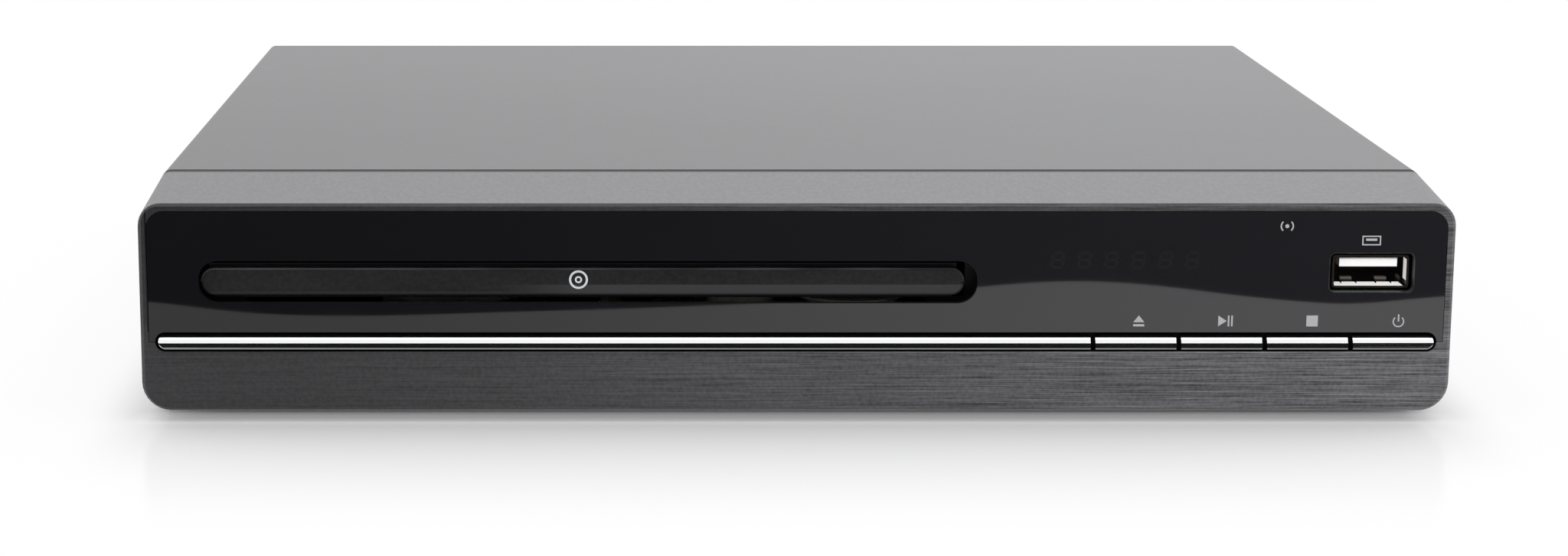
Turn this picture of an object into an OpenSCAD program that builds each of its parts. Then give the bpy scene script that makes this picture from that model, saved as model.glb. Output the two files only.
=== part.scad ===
// Compact DVD player with a motor-driven disc tray. All sizes are in millimetres.
// X runs to the right as seen from the front, Y runs to the back and Z runs up.
// The surface that the player stands on is Z = 0.

/* [Case] */
// Width of the moulded front panel
panel_w = 225; // [224:1:240]
// Height of the front panel's face
panel_h = 36.4; // [36:0.2:42]
// How far each side of the front stands out past the cover
flare = 1; // [0.4:0.1:2]
// Rise of the top lip from the front edge to the cover
lip_rise = 1.7; // [0.6:0.1:3]
// Depth of the lip from the front face to the seam
lip_d = 24; // [22:0.5:28]
// Width of the seam between the lip and the cover
seam = 0.6; // [0.2:0.1:0.8]
// Depth from the front face to the back of the cover
case_d = 200; // [200:1:230]
// Thickness of the steel sheet
sheet_t = 0.8; // [0.6:0.1:1]
// Bend radius of the cover's long edges
bend_r = 1.6; // [1.2:0.1:3]
// Wall of the moulded front's sides
shell_t = 2; // [1.6:0.1:2.2]
// Wall of the moulded front's face
face_t = 3; // [2.8:0.1:3.6]
// Corner radius of the front at the top
top_r = 4; // [2:0.5:5]
// Corner radius of the front at the bottom
low_r = 5; // [3:0.5:6]
// Rounding of the front edge
edge_r = 0.6; // [0.3:0.1:0.9]
// Height of the rubber feet
foot_h = 2; // [1.5:0.1:4]
// Diameter of the rubber feet
foot_d = 14; // [10:0.5:18]
// Height of the base pan's side flanges
flange_h = 12; // [10:0.5:14]

/* [Gloss insert] */
// Thickness of the gloss insert
fascia_t = 1.4; // [1:0.1:1.6]
// Grey rim left beside and above the insert
rim = 1.5; // [1:0.1:2.2]
// Corner radius at the top of the insert
fascia_r = 3; // [1:0.25:4]
// Width of the display window cut behind the insert
window_w = 30; // [24:0.5:30]
// Height of the display window
window_h = 9; // [7:0.5:10]
// Place of the window's centre between the slot and the USB cut-out, as a share
window_share = 0.432; // [0.42:0.004:0.444]
// Centre of the display window above the panel's lower edge
window_z = 26.5; // [26:0.25:27.5]

/* [Button strip] */
// Height of the groove that holds the bar and the buttons
groove_h = 3.4; // [3.2:0.04:4]
// Centre of the groove above the panel's lower edge
groove_z = 12.19; // [11.5:0.05:12.6]
// Depth of the groove
groove_d = 1.9; // [1.7:0.1:2.1]
// Grey or black left outside the groove's ends
groove_margin = 2.5; // [2:0.1:5]
// Height of the rounded bar and button caps
strip_h = 2.63; // [2.2:0.01:2.8]
// Share of the strip's height that lies above its crown
crown_share = 0.86; // [0.5:0.01:0.87]
// Clearance between the groove's end and the strip's end
strip_gap = 0.55; // [0.4:0.05:0.8]
// How far the crown of the bar stands out of the face
bar_out = 0.6; // [0.2:0.1:1]
// Width of a button cap
key_w = 13.87; // [12:0.01:14]
// Gap between one cap and the next
key_gap = 0.85; // [0.5:0.05:1.2]
// Travel of a button
key_travel = 0.6; // [0.3:0.1:0.7]

/* [Tray opening] */
// Width of the slot in the insert
slot_w = 133.4; // [132.6:0.1:135]
// Height of the slot
slot_h = 7.36; // [7.2:0.04:8]
// Centre of the slot above the panel's lower edge
slot_z = 22.65; // [22.5:0.05:22.8]
// Corner radius of the slot
slot_r = 3.4; // [2:0.1:3.5]
// Centre of the drive from the panel's left edge
drive_edge = 76.5; // [76.25:0.25:77.5]
// How far the tray and door sit left of the drive's centre
tray_shift = 0.6; // [0:0.1:0.8]
// Gap between the slot's left end and the door
door_gap = 0.3; // [0.3:0.1:1]
// Width of the door
door_w = 131; // [128:0.5:131]
// Height of the door
door_h = 4.7; // [4:0.1:5.5]
// Thickness of the door
door_t = 1.8; // [1.4:0.1:2.4]
// Distance of the closed door behind the face
door_recess = 1.5; // [1:0.1:2]

/* [Tray] */
// Width of the tray
tray_w = 128.5; // [126:0.5:129]
// Length of the tray
tray_l = 150; // [146:1:152]
// Height of the tray
tray_h = 6; // [5.8:0.1:6.2]
// Wall and floor of the tray
tray_t = 1.4; // [1.2:0.1:1.6]
// Diameter of a disc
disc_d = 120; // [116:1:120]
// Clearance round a disc in its recess
disc_gap = 0.5; // [0.3:0.1:1]
// Diameter of the recess for small discs
small_d = 80.8; // [78:0.2:84]
// Bevel of the tray's lower edges, which pass the slot's round corners
tray_bevel = 1; // [1:0.1:1.2]
// Border of the tray in front of the disc recess
tray_border = 5.5; // [4:0.5:6]
// Half width of the slot that the pickup works through
reach_r = 20; // [18:0.5:21]
// How far the tray travels
tray_travel = 128; // [100:4:130]

/* [Drive] */
// Height of the drive's bed above the base pan
bed_z = 3.7; // [3.6:0.1:3.9]
// Thickness of the bed and side walls of the drive
bed_t = 2; // [1.8:0.1:2.2]
// Radius of the turntable
platter_r = 15; // [13:0.5:15.5]
// Radius of the spindle motor
spindle_r = 10.5; // [9:0.5:11]
// Drop of the spindle when the tray is out
deck_drop = 4.5; // [3:0.25:4.5]
// Distance from the spindle back to the deck's hinge
hinge_l = 76; // [76:0.5:79]
// Half width of the tilting deck
deck_half = 31; // [30:0.25:31.5]
// Thickness of the deck's plate
deck_t = 1.8; // [1.6:0.1:2]
// Radius of the guide rods
rod_r = 1.5; // [1.2:0.1:1.7]
// Half distance between the guide rods
rod_half = 20; // [18:0.5:20.5]
// Lens distance from the spindle at the inner track
lens_in = 24; // [24:0.5:25]
// Travel of the pickup
sled_travel = 34; // [30:1:34]
// Radius of the loading motor
motor_r = 12.2; // [10:0.2:12.4]

/* [Gears] */
// Module of the tray rack and its pinion
rack_m = 1; // [0.9:0.1:1]
// Teeth of the tray pinion
pinion_z = 24; // [22:1:24]
// Module of the reduction gears
train_m = 0.6; // [0.5:0.1:0.6]
// Teeth of the large gear
wheel_z = 54; // [50:1:54]
// Teeth of the pulley's pinion
idler_z = 12; // [12:1:14]
// Module of the cam slider's rack
cam_m = 0.5; // [0.4:0.1:0.5]
// Teeth of the cam slider's pinion
cam_z = 12; // [12:1:13]
// Play between meshing teeth
backlash = 0.2; // [0.16:0.02:0.3]
// Radius of the large pulley at the belt's inner face
pulley_r = 9; // [8:0.25:9.5]
// Radius of the motor pulley at the belt's inner face
spur_r = 2.25; // [2:0.25:3]
// Side of the square belt
belt_t = 1.2; // [1:0.1:1.4]

/* [Boards and sockets] */
// Thickness of the circuit boards
board_t = 1.6; // [1.2:0.2:2]
// Height of the boards above the base pan
board_z = 6.6; // [6:0.1:7]
// Width of the USB cut-out in the insert
usb_w = 14.4; // [14:0.1:15.2]
// Height of the USB cut-out
usb_h = 6.7; // [6.4:0.1:7.4]
// Centre of the USB cut-out from the panel's right edge
usb_edge = 14.1; // [13.5:0.1:14.5]
// Centre of the USB cut-out above the panel's lower edge
usb_z = 24.3; // [24:0.1:24.8]
// Distance of the USB shell behind the face
usb_recess = 1.2; // [0.5:0.1:1.6]
// Distance of the control board behind the face
control_y = 15; // [14:0.5:16]
// How far the round sockets stand out at the back
jack_out = 8; // [6:0.5:9]
// Radius of the round sockets' barrels
jack_r = 4.15; // [4:0.05:4.4]
// Distance between neighbouring round sockets
jack_pitch = 14; // [12:0.5:14]

/* [Hidden] */
$fn = 48;

// Clearance between pieces that sit together but never touch
seat = 0.3;
// Radial clearance of a running fit
run = 0.05;
eps = 0.01;

// Places on the case
front_y = (bar_out - case_d - jack_out) / 2;
back_y = front_y + case_d;
seam_y = front_y + lip_d;
floor_z = foot_h;
pan_z = floor_z + sheet_t;
top_z = floor_z + panel_h + lip_rise;
cover_w = panel_w - 2 * flare;
inner_half = cover_w / 2 - sheet_t;
flange_half = inner_half - 0.1;
rear_in_y = back_y - 2 * sheet_t;
face_in_y = front_y + face_t;

// Places on the insert and the strip
fascia_half = panel_w / 2 - rim;
strip_z = floor_z + groove_z;
groove_half = panel_w / 2 - groove_margin;
strip_half = groove_half - strip_gap;
key_pitch = key_w + key_gap;
key_x = [for (i = [0:3]) strip_half - key_w / 2 - (3 - i) * key_pitch];
crown_y = front_y - bar_out;
crown_low = strip_h * (1 - crown_share);
key_back_y = front_y + groove_d - key_travel - 0.2;
stem_w = 5;
stem_h = 1.6;
switch_tip_y = front_y + 8.4;

// Places in the drive. Its own frame has the spindle at x = 0, y = 0.
drive_cx = drive_edge - panel_w / 2;
tray_cx = drive_cx - tray_shift;
slot_cx = tray_cx - door_w / 2 - door_gap + slot_w / 2;
spindle_y = front_y + door_recess + door_t + tray_border + disc_d / 2 + disc_gap;
tray_front = -(tray_border + disc_d / 2 + disc_gap);
tray_back = tray_front + tray_l;
slot_cz = floor_z + slot_z;
tray_z = slot_cz - slot_h / 2 + 0.43;
tray_top = tray_z + tray_h;
recess_d = 2.8;
recess_z = tray_top - recess_d;
under_z = recess_z - tray_t;
bed_low = pan_z + bed_z;
bed_top = bed_low + bed_t;
wall_in = tray_w / 2 + tray_shift + 0.5;
wall_out = wall_in + bed_t;
ear_out = wall_out + 5.2;
rail_top = tray_z - seat;
wall_top = tray_top + 1;
rib_d = 2.4;
frame_front = face_in_y + rib_d + seat - spindle_y;
frame_back = hinge_l + 10;
boss_x = wall_out + 2.6;
boss_y = [seam_y - spindle_y + 6, frame_back - 5.5];
boss_r = 3.2;

// Gears of the tray drive
pinion_pr = rack_m * pinion_z / 2;
wheel_pr = train_m * wheel_z / 2;
idler_pr = train_m * idler_z / 2;
cam_pr = cam_m * cam_z / 2;
gear_x = 27;
gear_y = -46;
idler_a = -10;
idler_l = wheel_pr + idler_pr + 0.05;
idler_x = gear_x + idler_l * cos(idler_a);
idler_y = gear_y + idler_l * sin(idler_a);
motor_x = 51;
motor_y = -20;
post_r = 2;
level_1 = bed_top + seat;
level_2 = level_1 + 4;
level_3 = level_2 + 3.2;
level_4 = under_z - 2.9;
belt_z = level_3 + 1.7;
belt_low = belt_z - belt_t / 2 - 0.15;
belt_high = belt_z + belt_t / 2 + 0.15;
cam_shift = tray_travel * cam_pr / pinion_pr;

// Tilting deck
deck_z = bed_top + 7.9;
deck_top = deck_z + deck_t;
deck_front = -23.6;
deck_back = hinge_l + 4;
hinge_z = deck_z - 3.4;
hinge_r = 2;
bush_r = 3.6;
deck_angle = asin(deck_drop / hinge_l);
cam_y = gear_y + wheel_pr + train_m + 0.8;
cam_t = 2;
cam_front = gear_y + cam_pr + 0.6;
cam_pin_z = deck_z - 2.4;
cam_pin_r = 1.8;
cam_drop = (hinge_l - cam_y - cam_t / 2) * sin(deck_angle);
cam_slope = atan(cam_drop / cam_shift);
window_half = deck_half - 5.5;
rod_z = deck_z - 3;
rod_start = 12;
pickup_half = 8;
rod_end = lens_in + sled_travel + pickup_half + 1;
screw_x = deck_half - 3.4;
screw_z = deck_z - 4.2;
platter_z = recess_z + 1;
platter_t = 1.6;
hub_r = 7.45;
hub_h = 2.2;
shaft_r = 1;
bridge_z = wall_top;
bridge_t = 2;
bridge_half = 24;
bridge_screw_y = [-15, 15];
clamp_r = 15.6;
clamp_z = platter_z + 1.3;

// Boards and sockets
board_low = pan_z + board_z;
board_top = board_low + board_t;
main_x = [drive_cx - 71, drive_cx + 67];
main_y = [spindle_y + frame_back + 3, rear_in_y - seat];
power_x = [drive_cx + ear_out + 6, cover_w / 2 - 4.5];
power_y = [6, rear_in_y - seat];
power_w = power_x[1] - power_x[0];
scart_x = main_x[0] + 25;
scart_w = 47;
scart_h = 14;
scart_z = board_top + scart_h / 2;
jack_x = [for (i = [0:2]) main_x[0] + 61 + i * jack_pitch];
coax_x = jack_x[2] + jack_pitch + 2;
jack_z = board_top + 8;
hdmi_x = main_x[1] - 14;
hdmi_w = 15;
hdmi_h = 5.6;
inlet_x = cover_w / 2 - 23.5;
inlet_w = 19.6;
inlet_h = 10.4;
inlet_z = board_top + 8;
socket_d = 14;
spare_d = main_y[1] - main_y[0] - socket_d;
usb_x = panel_w / 2 - usb_edge;
gloss_x = [slot_cx + slot_w / 2, usb_x - usb_w / 2];
window_x = gloss_x[0] + (gloss_x[1] - gloss_x[0]) * window_share;
window_cz = floor_z + window_z;
usb_cz = floor_z + usb_z;
control_x = [drive_cx + wall_out + 1.2, panel_w / 2 - 4.2];
control_z = [floor_z + 6.5, floor_z + panel_h - 4.5];
control_boss = [[control_x[0] + 3.4, strip_z + 6.4], [window_x + window_w / 2, strip_z + 6.4],
                [usb_x - 11.2, strip_z + 8.8], [control_x[1] - 3.4, control_z[1] - 2.2]];
boss_hole = 1.1;
ir_x = (window_x + window_w / 2 + gloss_x[1]) / 2;
ir_z = floor_z + 28.5;
ir_r = 2.6;
board_y = front_y + control_y;
foot_x = cover_w / 2 - 17.5;
foot_y = [front_y + 19, back_y - 18];

// ---------------------------------------------------------------- shared shapes

// Rectangle with round corners, made of squares and circles
module rounded(w, h, r) {
    square([w - 2 * r, h], center = true);
    square([w, h - 2 * r], center = true);
    for (x = [-1, 1], z = [-1, 1]) translate([x * (w / 2 - r), z * (h / 2 - r)]) circle(r);
}

// Outline of the front, standing on y = 0, with its own radii at the top and the bottom
module front_outline(w, h, rt, rb) {
    translate([-w / 2, rb]) square([w, h - rt - rb]);
    translate([-w / 2 + rb, 0]) square([w - 2 * rb, h]);
    translate([-w / 2 + rt, h - rt]) square([w - 2 * rt, rt]);
    for (x = [-1, 1]) {
        translate([x * (w / 2 - rb), rb]) circle(rb);
        translate([x * (w / 2 - rt), h - rt]) circle(rt);
    }
}

// Draws a flat outline as a slab between two depths. Its second axis becomes Z.
module slab(y0, y1) translate([0, y1, 0]) rotate([90, 0, 0]) linear_extrude(y1 - y0) children();

// Block between two corners
module block(a, b) translate(a) cube(b - a);

// Upright cylinder between two heights
module post(r, z0, z1) translate([0, 0, z0]) cylinder(r = r, h = z1 - z0);

// Cylinder along Y between two depths
module bar_y(r, y0, y1) translate([0, y0, 0]) rotate([-90, 0, 0]) cylinder(r = r, h = y1 - y0);

// Cylinder along X between two places
module bar_x(r, x0, x1) translate([x0, 0, 0]) rotate([0, 90, 0]) cylinder(r = r, h = x1 - x0);

// Draws its children twice, the second time mirrored to the left
module sides() for (s = [0, 1]) mirror([s, 0, 0]) children();

// Moves into the drive's frame, and into the tray's, which sits a little to the left
module in_drive() translate([drive_cx, spindle_y, 0]) children();
module in_tray() translate([tray_cx, spindle_y, 0]) children();

// Involute function in degrees, at radius r of a base circle rb
function involute(rb, r) = let (t = sqrt(max(r * r / rb / rb - 1, 0))) t * 180 / PI - atan(t);

// Outline of a spur gear with z teeth of module m, its first tooth on the x axis
function gear_points(m, z, play) =
    let (rp = m * z / 2, rb = rp * cos(20), ra = rp + 0.95 * m, rf = rp - 1.25 * m, rs = max(rb, rf),
         half = 90 / z - play / rp * 45 / PI + involute(rb, rp),
         radii = rb > rf ? [rf, for (i = [0:3]) rs + (ra - rs) * i / 3]
                         : [for (i = [0:4]) rf + (ra - rf) * i / 4])
    [for (k = [0:z - 1], side = [-1, 1], i = [0:4])
        let (r = radii[side < 0 ? i : 4 - i], a = 360 * k / z + side * (half - involute(rb, max(r, rb))))
        [r * cos(a), r * sin(a)]];

module gear(m, z, z0, z1)
    translate([0, 0, z0]) linear_extrude(z1 - z0) polygon(gear_points(m, z, backlash));

// Rack along x with n teeth that point to +y. The pitch line is y = 0 and its back is y = -back.
module rack_outline(m, n, back) {
    p = PI * m;
    tip = p / 4 - backlash / 4 - 0.95 * m * tan(20);
    root = p / 4 - backlash / 4 + 1.25 * m * tan(20);
    teeth = [for (k = [0:n - 1]) for (q = [[-root, -1.25 * m], [-tip, 0.95 * m], [tip, 0.95 * m],
             [root, -1.25 * m]]) [(k + 0.5) * p + q[0], q[1]]];
    polygon(concat([[0, -back], [0, -1.25 * m]], teeth, [[n * p, -1.25 * m], [n * p, -back]]));
}

// ---------------------------------------------------------------- front

// Thin slab of the front's outline that starts at depth y and stands on z
module front_slab(y, z, w, h, rt, rb)
    translate([0, 0, z]) slab(y, y + eps) front_outline(w, h, rt, rb, $fn = 32);

// The front's outer body, or the hollow inside it when inset is above zero
module front_body(inset) {
    hollow = inset > 0;
    w = panel_w - 2 * inset;
    h = panel_h - 2 * inset;
    z = floor_z + inset;
    edge = hollow ? 0 : edge_r;
    y0 = hollow ? face_in_y : front_y;
    y1 = hollow ? seam_y + 1 : seam_y - eps;
    hull() {
        front_slab(y0, z + edge, w - 2 * edge, h - 2 * edge, top_r - 1, low_r - 1);
        front_slab(y0 + edge, z, w, h, top_r, low_r);
        front_slab(y1, z, w - 2 * flare, h + lip_rise, hollow ? top_r : bend_r, low_r);
    }
}

// Outline of the insert: its top corners are round and its lower edge lies in the groove
module fascia_outline(gap) {
    h = floor_z + panel_h - rim - strip_z;
    half = fascia_half - fascia_r;
    translate([0, strip_z - gap]) {
        translate([-fascia_half - gap, 0]) square([2 * (fascia_half + gap), h - fascia_r + gap]);
        translate([-half, 0]) square([2 * half, h + 2 * gap]);
        for (x = [-half, half]) translate([x, h - fascia_r + gap]) circle(fascia_r + gap);
    }
}

module groove_outline()
    translate([0, strip_z]) rounded(2 * groove_half, groove_h, groove_h / 2 - eps);
module slot_outline(gap)
    translate([slot_cx, slot_cz]) rounded(slot_w + 2 * gap, slot_h + 2 * gap, slot_r + gap);
module usb_outline(gap)
    translate([usb_x, usb_cz]) rounded(usb_w + 2 * gap, usb_h + 2 * gap, 1 + gap);

module front_panel() color([0.6, 0.6, 0.61]) {
    hook_w = 16;
    hook_t = 1.4;
    hook_z = top_z - sheet_t - seat - hook_t;
    rib_t = 1.6;
    ribs = [[floor_z + 1.4, slot_cz - slot_h / 2 - 2], [slot_cz + slot_h / 2 + 2, top_z - lip_rise - 1.6]];
    difference() {
        front_body(0);
        front_body(shell_t);
        slab(front_y - 1, front_y + fascia_t + 0.02) fascia_outline(0.1);
        slab(front_y - 1, front_y + groove_d) groove_outline();
        slab(front_y, face_in_y + 1) slot_outline(0.4);
        slab(front_y, face_in_y + 1) usb_outline(0.5);
        slab(front_y, face_in_y + 1) translate([window_x, window_cz])
            square([window_w, window_h], center = true);
        translate([ir_x, 0, ir_z]) bar_y(ir_r, front_y, face_in_y + 1);
        for (x = key_x) slab(front_y, face_in_y + 1) translate([x, strip_z])
            square([stem_w + 1, stem_h + 0.6], center = true);
        // The lower wall ends behind the face, where the base pan takes over
        block([-inner_half + shell_t, front_y + 6, floor_z - 1],
              [inner_half - shell_t, seam_y + 1, pan_z + 3]);
    }
    // Hooks that reach under the cover
    for (x = [-2 : 2]) translate([x * panel_w * 0.187, seam_y, 0]) {
        block([-hook_w / 2, -4, hook_z], [hook_w / 2, 5, hook_z + hook_t]);
        block([-hook_w / 2, -4, hook_z], [hook_w / 2, -1, top_z - 1.6]);
    }
    // Ribs behind the face, above the slot and below it
    for (x = [-2.5 : 2.5], z = ribs) translate([drive_cx + x * 24, 0, 0])
        block([-rib_t / 2, face_in_y - eps, z[0]], [rib_t / 2, face_in_y + rib_d, z[1]]);
    // Bosses that carry the control board
    for (b = control_boss) translate([b[0], 0, b[1]]) difference() {
        bar_y(2.4, face_in_y - eps, board_y);
        bar_y(boss_hole, face_in_y + 4, board_y + 1);
    }
}

module gloss_fascia() color([0.05, 0.05, 0.055]) difference() {
    slab(front_y, front_y + fascia_t) fascia_outline(0);
    slab(front_y - 1, front_y + fascia_t + 1) groove_outline();
    slab(front_y - 1, front_y + fascia_t + 1) slot_outline(0);
    slab(front_y - 1, front_y + fascia_t + 1) usb_outline(0);
}

// Quarter of a disc of radius r that touches both axes, its round side to the lower left
module quarter(r) intersection() {
    translate([r, 0]) circle(r);
    square([r, r]);
}

// Section of the strip: x points back from the crown and y up from the strip's middle. A wide arc
// falls away above the crown and a narrow one below it.
module strip_section(depth) {
    high = strip_h - crown_low;
    intersection() {
        translate([0, crown_low - strip_h / 2]) {
            quarter(high);
            translate([high, 0]) square([depth, high]);
            mirror([0, 1]) quarter(crown_low);
            translate([crown_low, -crown_low]) square([depth + high, crown_low + eps]);
        }
        translate([0, -strip_h]) square([depth, 2 * strip_h]);
    }
}

// Solid of revolution that rounds off an end of the strip, with its axis along Y
module strip_end(depth) rotate([-90, 0, 0]) rotate_extrude() {
    r = strip_h / 2;
    square([r - crown_low, depth]);
    translate([0, crown_low]) square([r, depth - crown_low]);
    translate([r - crown_low, 0]) intersection() {
        translate([0, crown_low]) circle(crown_low);
        square([crown_low, crown_low]);
    }
}

// Strip from x0 to x1 and back to the depth y1. A round end closes it where one is asked for.
module strip(x0, x1, round_left, round_right, y1) {
    r = strip_h / 2;
    a = round_left ? x0 + r : x0;
    b = round_right ? x1 - r : x1;
    depth = y1 - crown_y;
    translate([0, crown_y, strip_z]) intersection() {
        translate([x0, 0, 0]) rotate([90, 0, 90]) linear_extrude(x1 - x0) strip_section(depth);
        union() {
            block([a, -1, -strip_h], [b, depth + 1, strip_h]);
            for (x = concat(round_left ? [a] : [], round_right ? [b] : []))
                translate([x, 0, 0]) strip_end(depth);
        }
    }
}

module trim_bar() color([0.85, 0.85, 0.86])
    strip(-strip_half, key_x[0] - key_w / 2 - key_gap, true, false, front_y + groove_d);

// A button: its cap lies in the groove and its stem reaches the switch behind the face
module key(i) color([0.85, 0.85, 0.86]) {
    x = key_x[i];
    strip(x - key_w / 2, x + key_w / 2, false, i == 3, key_back_y);
    block([x - stem_w / 2, key_back_y - eps, strip_z - stem_h / 2],
          [x + stem_w / 2, switch_tip_y, strip_z + stem_h / 2]);
    // Barbs behind the face keep the button in
    barb_y = face_in_y + 0.2;
    translate([x, 0, strip_z - stem_h / 2]) sides() linear_extrude(stem_h)
        polygon([[stem_w / 2 - 1, barb_y], [stem_w / 2 + 1.1, barb_y], [stem_w / 2 - 1, barb_y + 3]]);
}
module eject_button() key(0);
module play_button() key(1);
module stop_button() key(2);
module power_button() key(3);

module tray_door() color([0.06, 0.06, 0.065]) {
    y0 = front_y + door_recess;
    bevel = 0.35;
    end_r = door_h / 2 - 0.1;
    translate([tray_cx, 0, slot_cz - 0.24]) hull() {
        slab(y0, y0 + eps) rounded(door_w - 2 * bevel, door_h - 2 * bevel, end_r - bevel, $fn = 32);
        slab(y0 + bevel, y0 + door_t) rounded(door_w, door_h, end_r, $fn = 32);
    }
}

// ---------------------------------------------------------------- tray

module disc_tray() color([0.09, 0.09, 0.1]) in_tray() {
    half = tray_w / 2;
    r_disc = disc_d / 2 + disc_gap;
    inside = half - tray_t;
    back_in = tray_back - tray_t;
    difference() {
        union() {
            difference() {
                // The moulding with its rear corners cut off at a slant
                translate([0, 0, tray_z]) linear_extrude(tray_h)
                    polygon([[-half, tray_front], [half, tray_front], [half, tray_back - 8],
                             [half - 3, tray_back], [-half + 3, tray_back], [-half, tray_back - 8]]);
                // Hollow underside, up to the recess floor and up to the rim
                block([-inside, tray_front + tray_t, tray_z - 1], [inside, back_in - 8, under_z]);
                difference() {
                    block([-inside, tray_front + tray_t, under_z - eps],
                          [inside, back_in - 8, tray_top - tray_t]);
                    post(r_disc + tray_t, under_z - 1, tray_top);
                }
                // Disc recess with the step for small discs
                post(r_disc, recess_z, tray_top + 1);
                post(small_d / 2, recess_z - 0.7, tray_top);
            }
            // Rack on the underside and the rib that backs it
            translate([gear_x + tray_shift + pinion_pr, gear_y, tray_z]) rotate([0, 0, 90])
                linear_extrude(under_z - tray_z + eps) tray_rack();
            // Ribs under the left side and beside the rack
            for (x = [-half + 9, -half + 24])
                block([x - 0.7, tray_front + tray_t - eps, tray_z + 0.5],
                      [x + 0.7, back_in - 7, under_z + eps]);
            for (y = [-40, -10, 20, 50])
                block([-inside - eps, y - 0.7, tray_z + 0.5], [-half + 24, y + 0.7, under_z + eps]);
        }
        sides() slab(tray_front - 1, tray_back + 1) translate([half, tray_z])
            rotate(45) square(tray_bevel * sqrt(2), center = true);
        // Slot for the turntable and the pickup, open at the back
        post(reach_r, tray_z - 1, tray_top + 1);
        block([-reach_r, 0, tray_z - 1], [reach_r, tray_back + 1, tray_top + 1]);
        // The rear wall is open above the drive gear's path
        block([-inside, back_in - 9, tray_z - 1], [inside, tray_back + 1, under_z]);
        // Finger notches at the sides of the recess
        sides() translate([r_disc + 4, 0, 0]) post(11, recess_z - 0.35, tray_top + 1);
    }
    // Posts that carry the door
    sides() block([42, tray_front, slot_cz - 1.6], [48, tray_front + 4, slot_cz + 1.2]);
}

// Rack of the tray in its own frame: teeth point to the gear and start in front of it
module tray_rack() {
    ahead = 5;
    count = ahead + floor((tray_back - gear_y - 1) / PI / rack_m);
    translate([-ahead * PI * rack_m, 0]) rack_outline(rack_m, count, 1.25 * rack_m + 2.6);
}

// ---------------------------------------------------------------- shell

module cover_outline() difference() {
    union() {
        translate([-cover_w / 2, floor_z]) square([cover_w, top_z - floor_z - bend_r]);
        translate([-cover_w / 2 + bend_r, floor_z]) square([cover_w - 2 * bend_r, top_z - floor_z]);
        for (x = [-1, 1]) translate([x * (cover_w / 2 - bend_r), top_z - bend_r]) circle(bend_r);
    }
    r_in = bend_r - sheet_t;
    translate([-inner_half, floor_z - 1]) square([2 * inner_half, top_z - floor_z - bend_r + 1]);
    translate([-inner_half + r_in, floor_z]) square([2 * (inner_half - r_in), top_z - floor_z - sheet_t]);
    for (x = [-1, 1]) translate([x * (inner_half - r_in), top_z - bend_r]) circle(r_in);
}

side_screw_y = [front_y + 62, back_y - 40];
side_screw_z = pan_z + 6;
rear_screw_x = [11.5 - cover_w / 2, 2, cover_w / 2 - 11.5];
rear_screw_z = top_z - sheet_t - 5;
screw_r = 1.5;
rear_lip = 9;

module top_cover() color([0.62, 0.62, 0.63]) difference() {
    union() {
        slab(seam_y + seam, back_y) cover_outline();
        // Folded lip over the top of the rear panel
        block([-inner_half, back_y - sheet_t, top_z - sheet_t - rear_lip],
              [inner_half, back_y, top_z - sheet_t + eps]);
    }
    sides() for (y = side_screw_y) translate([0, y, side_screw_z])
        bar_x(screw_r + 0.1, inner_half - 1, cover_w / 2 + 1);
    for (x = rear_screw_x) translate([x, 0, rear_screw_z]) bar_y(screw_r + 0.1, back_y - 2, back_y + 1);
}

// A row of n slots along x with the given pitch, each w wide and l long in y
module vents(n, pitch, w, l, z0, z1) for (i = [0:n - 1])
    translate([(i - (n - 1) / 2) * pitch, 0, z0]) linear_extrude(z1 - z0)
        rounded(w, l, w / 2 - eps, $fn = 24);

module base_pan() color([0.66, 0.67, 0.68]) {
    tongue = inner_half - shell_t - 0.4;
    vent_w = 2.6;
    vent_l = 18;
    difference() {
        union() {
            block([-flange_half, seam_y + seam, floor_z], [flange_half, rear_in_y, pan_z]);
            block([-tongue, front_y + 6.3, floor_z], [tongue, seam_y + 1, pan_z]);
            sides() block([flange_half - sheet_t, seam_y + seam + 2, floor_z],
                          [flange_half, rear_in_y - seat, floor_z + flange_h]);
            // Rear flange that the rear panel is screwed to
            block([2 - flange_half, rear_in_y - sheet_t, floor_z],
                  [flange_half - 2, rear_in_y, floor_z + 4]);
        }
        sides() for (y = side_screw_y) translate([0, y, side_screw_z])
            bar_x(screw_r + 0.1, flange_half - 2, flange_half + 1);
        sides() for (y = foot_y) translate([foot_x, y, 0]) post(2.6, floor_z - 1, pan_z + 1);
        for (y = [24, 50]) translate([(power_x[0] + power_x[1]) / 2, power_y[0] + y, 0])
            vents(8, 7, vent_w, vent_l, floor_z - 1, pan_z + 1);
        translate([drive_cx, spindle_y + 34, 0]) vents(6, 7, vent_w, vent_l, floor_z - 1, pan_z + 1);
    }
}

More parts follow.
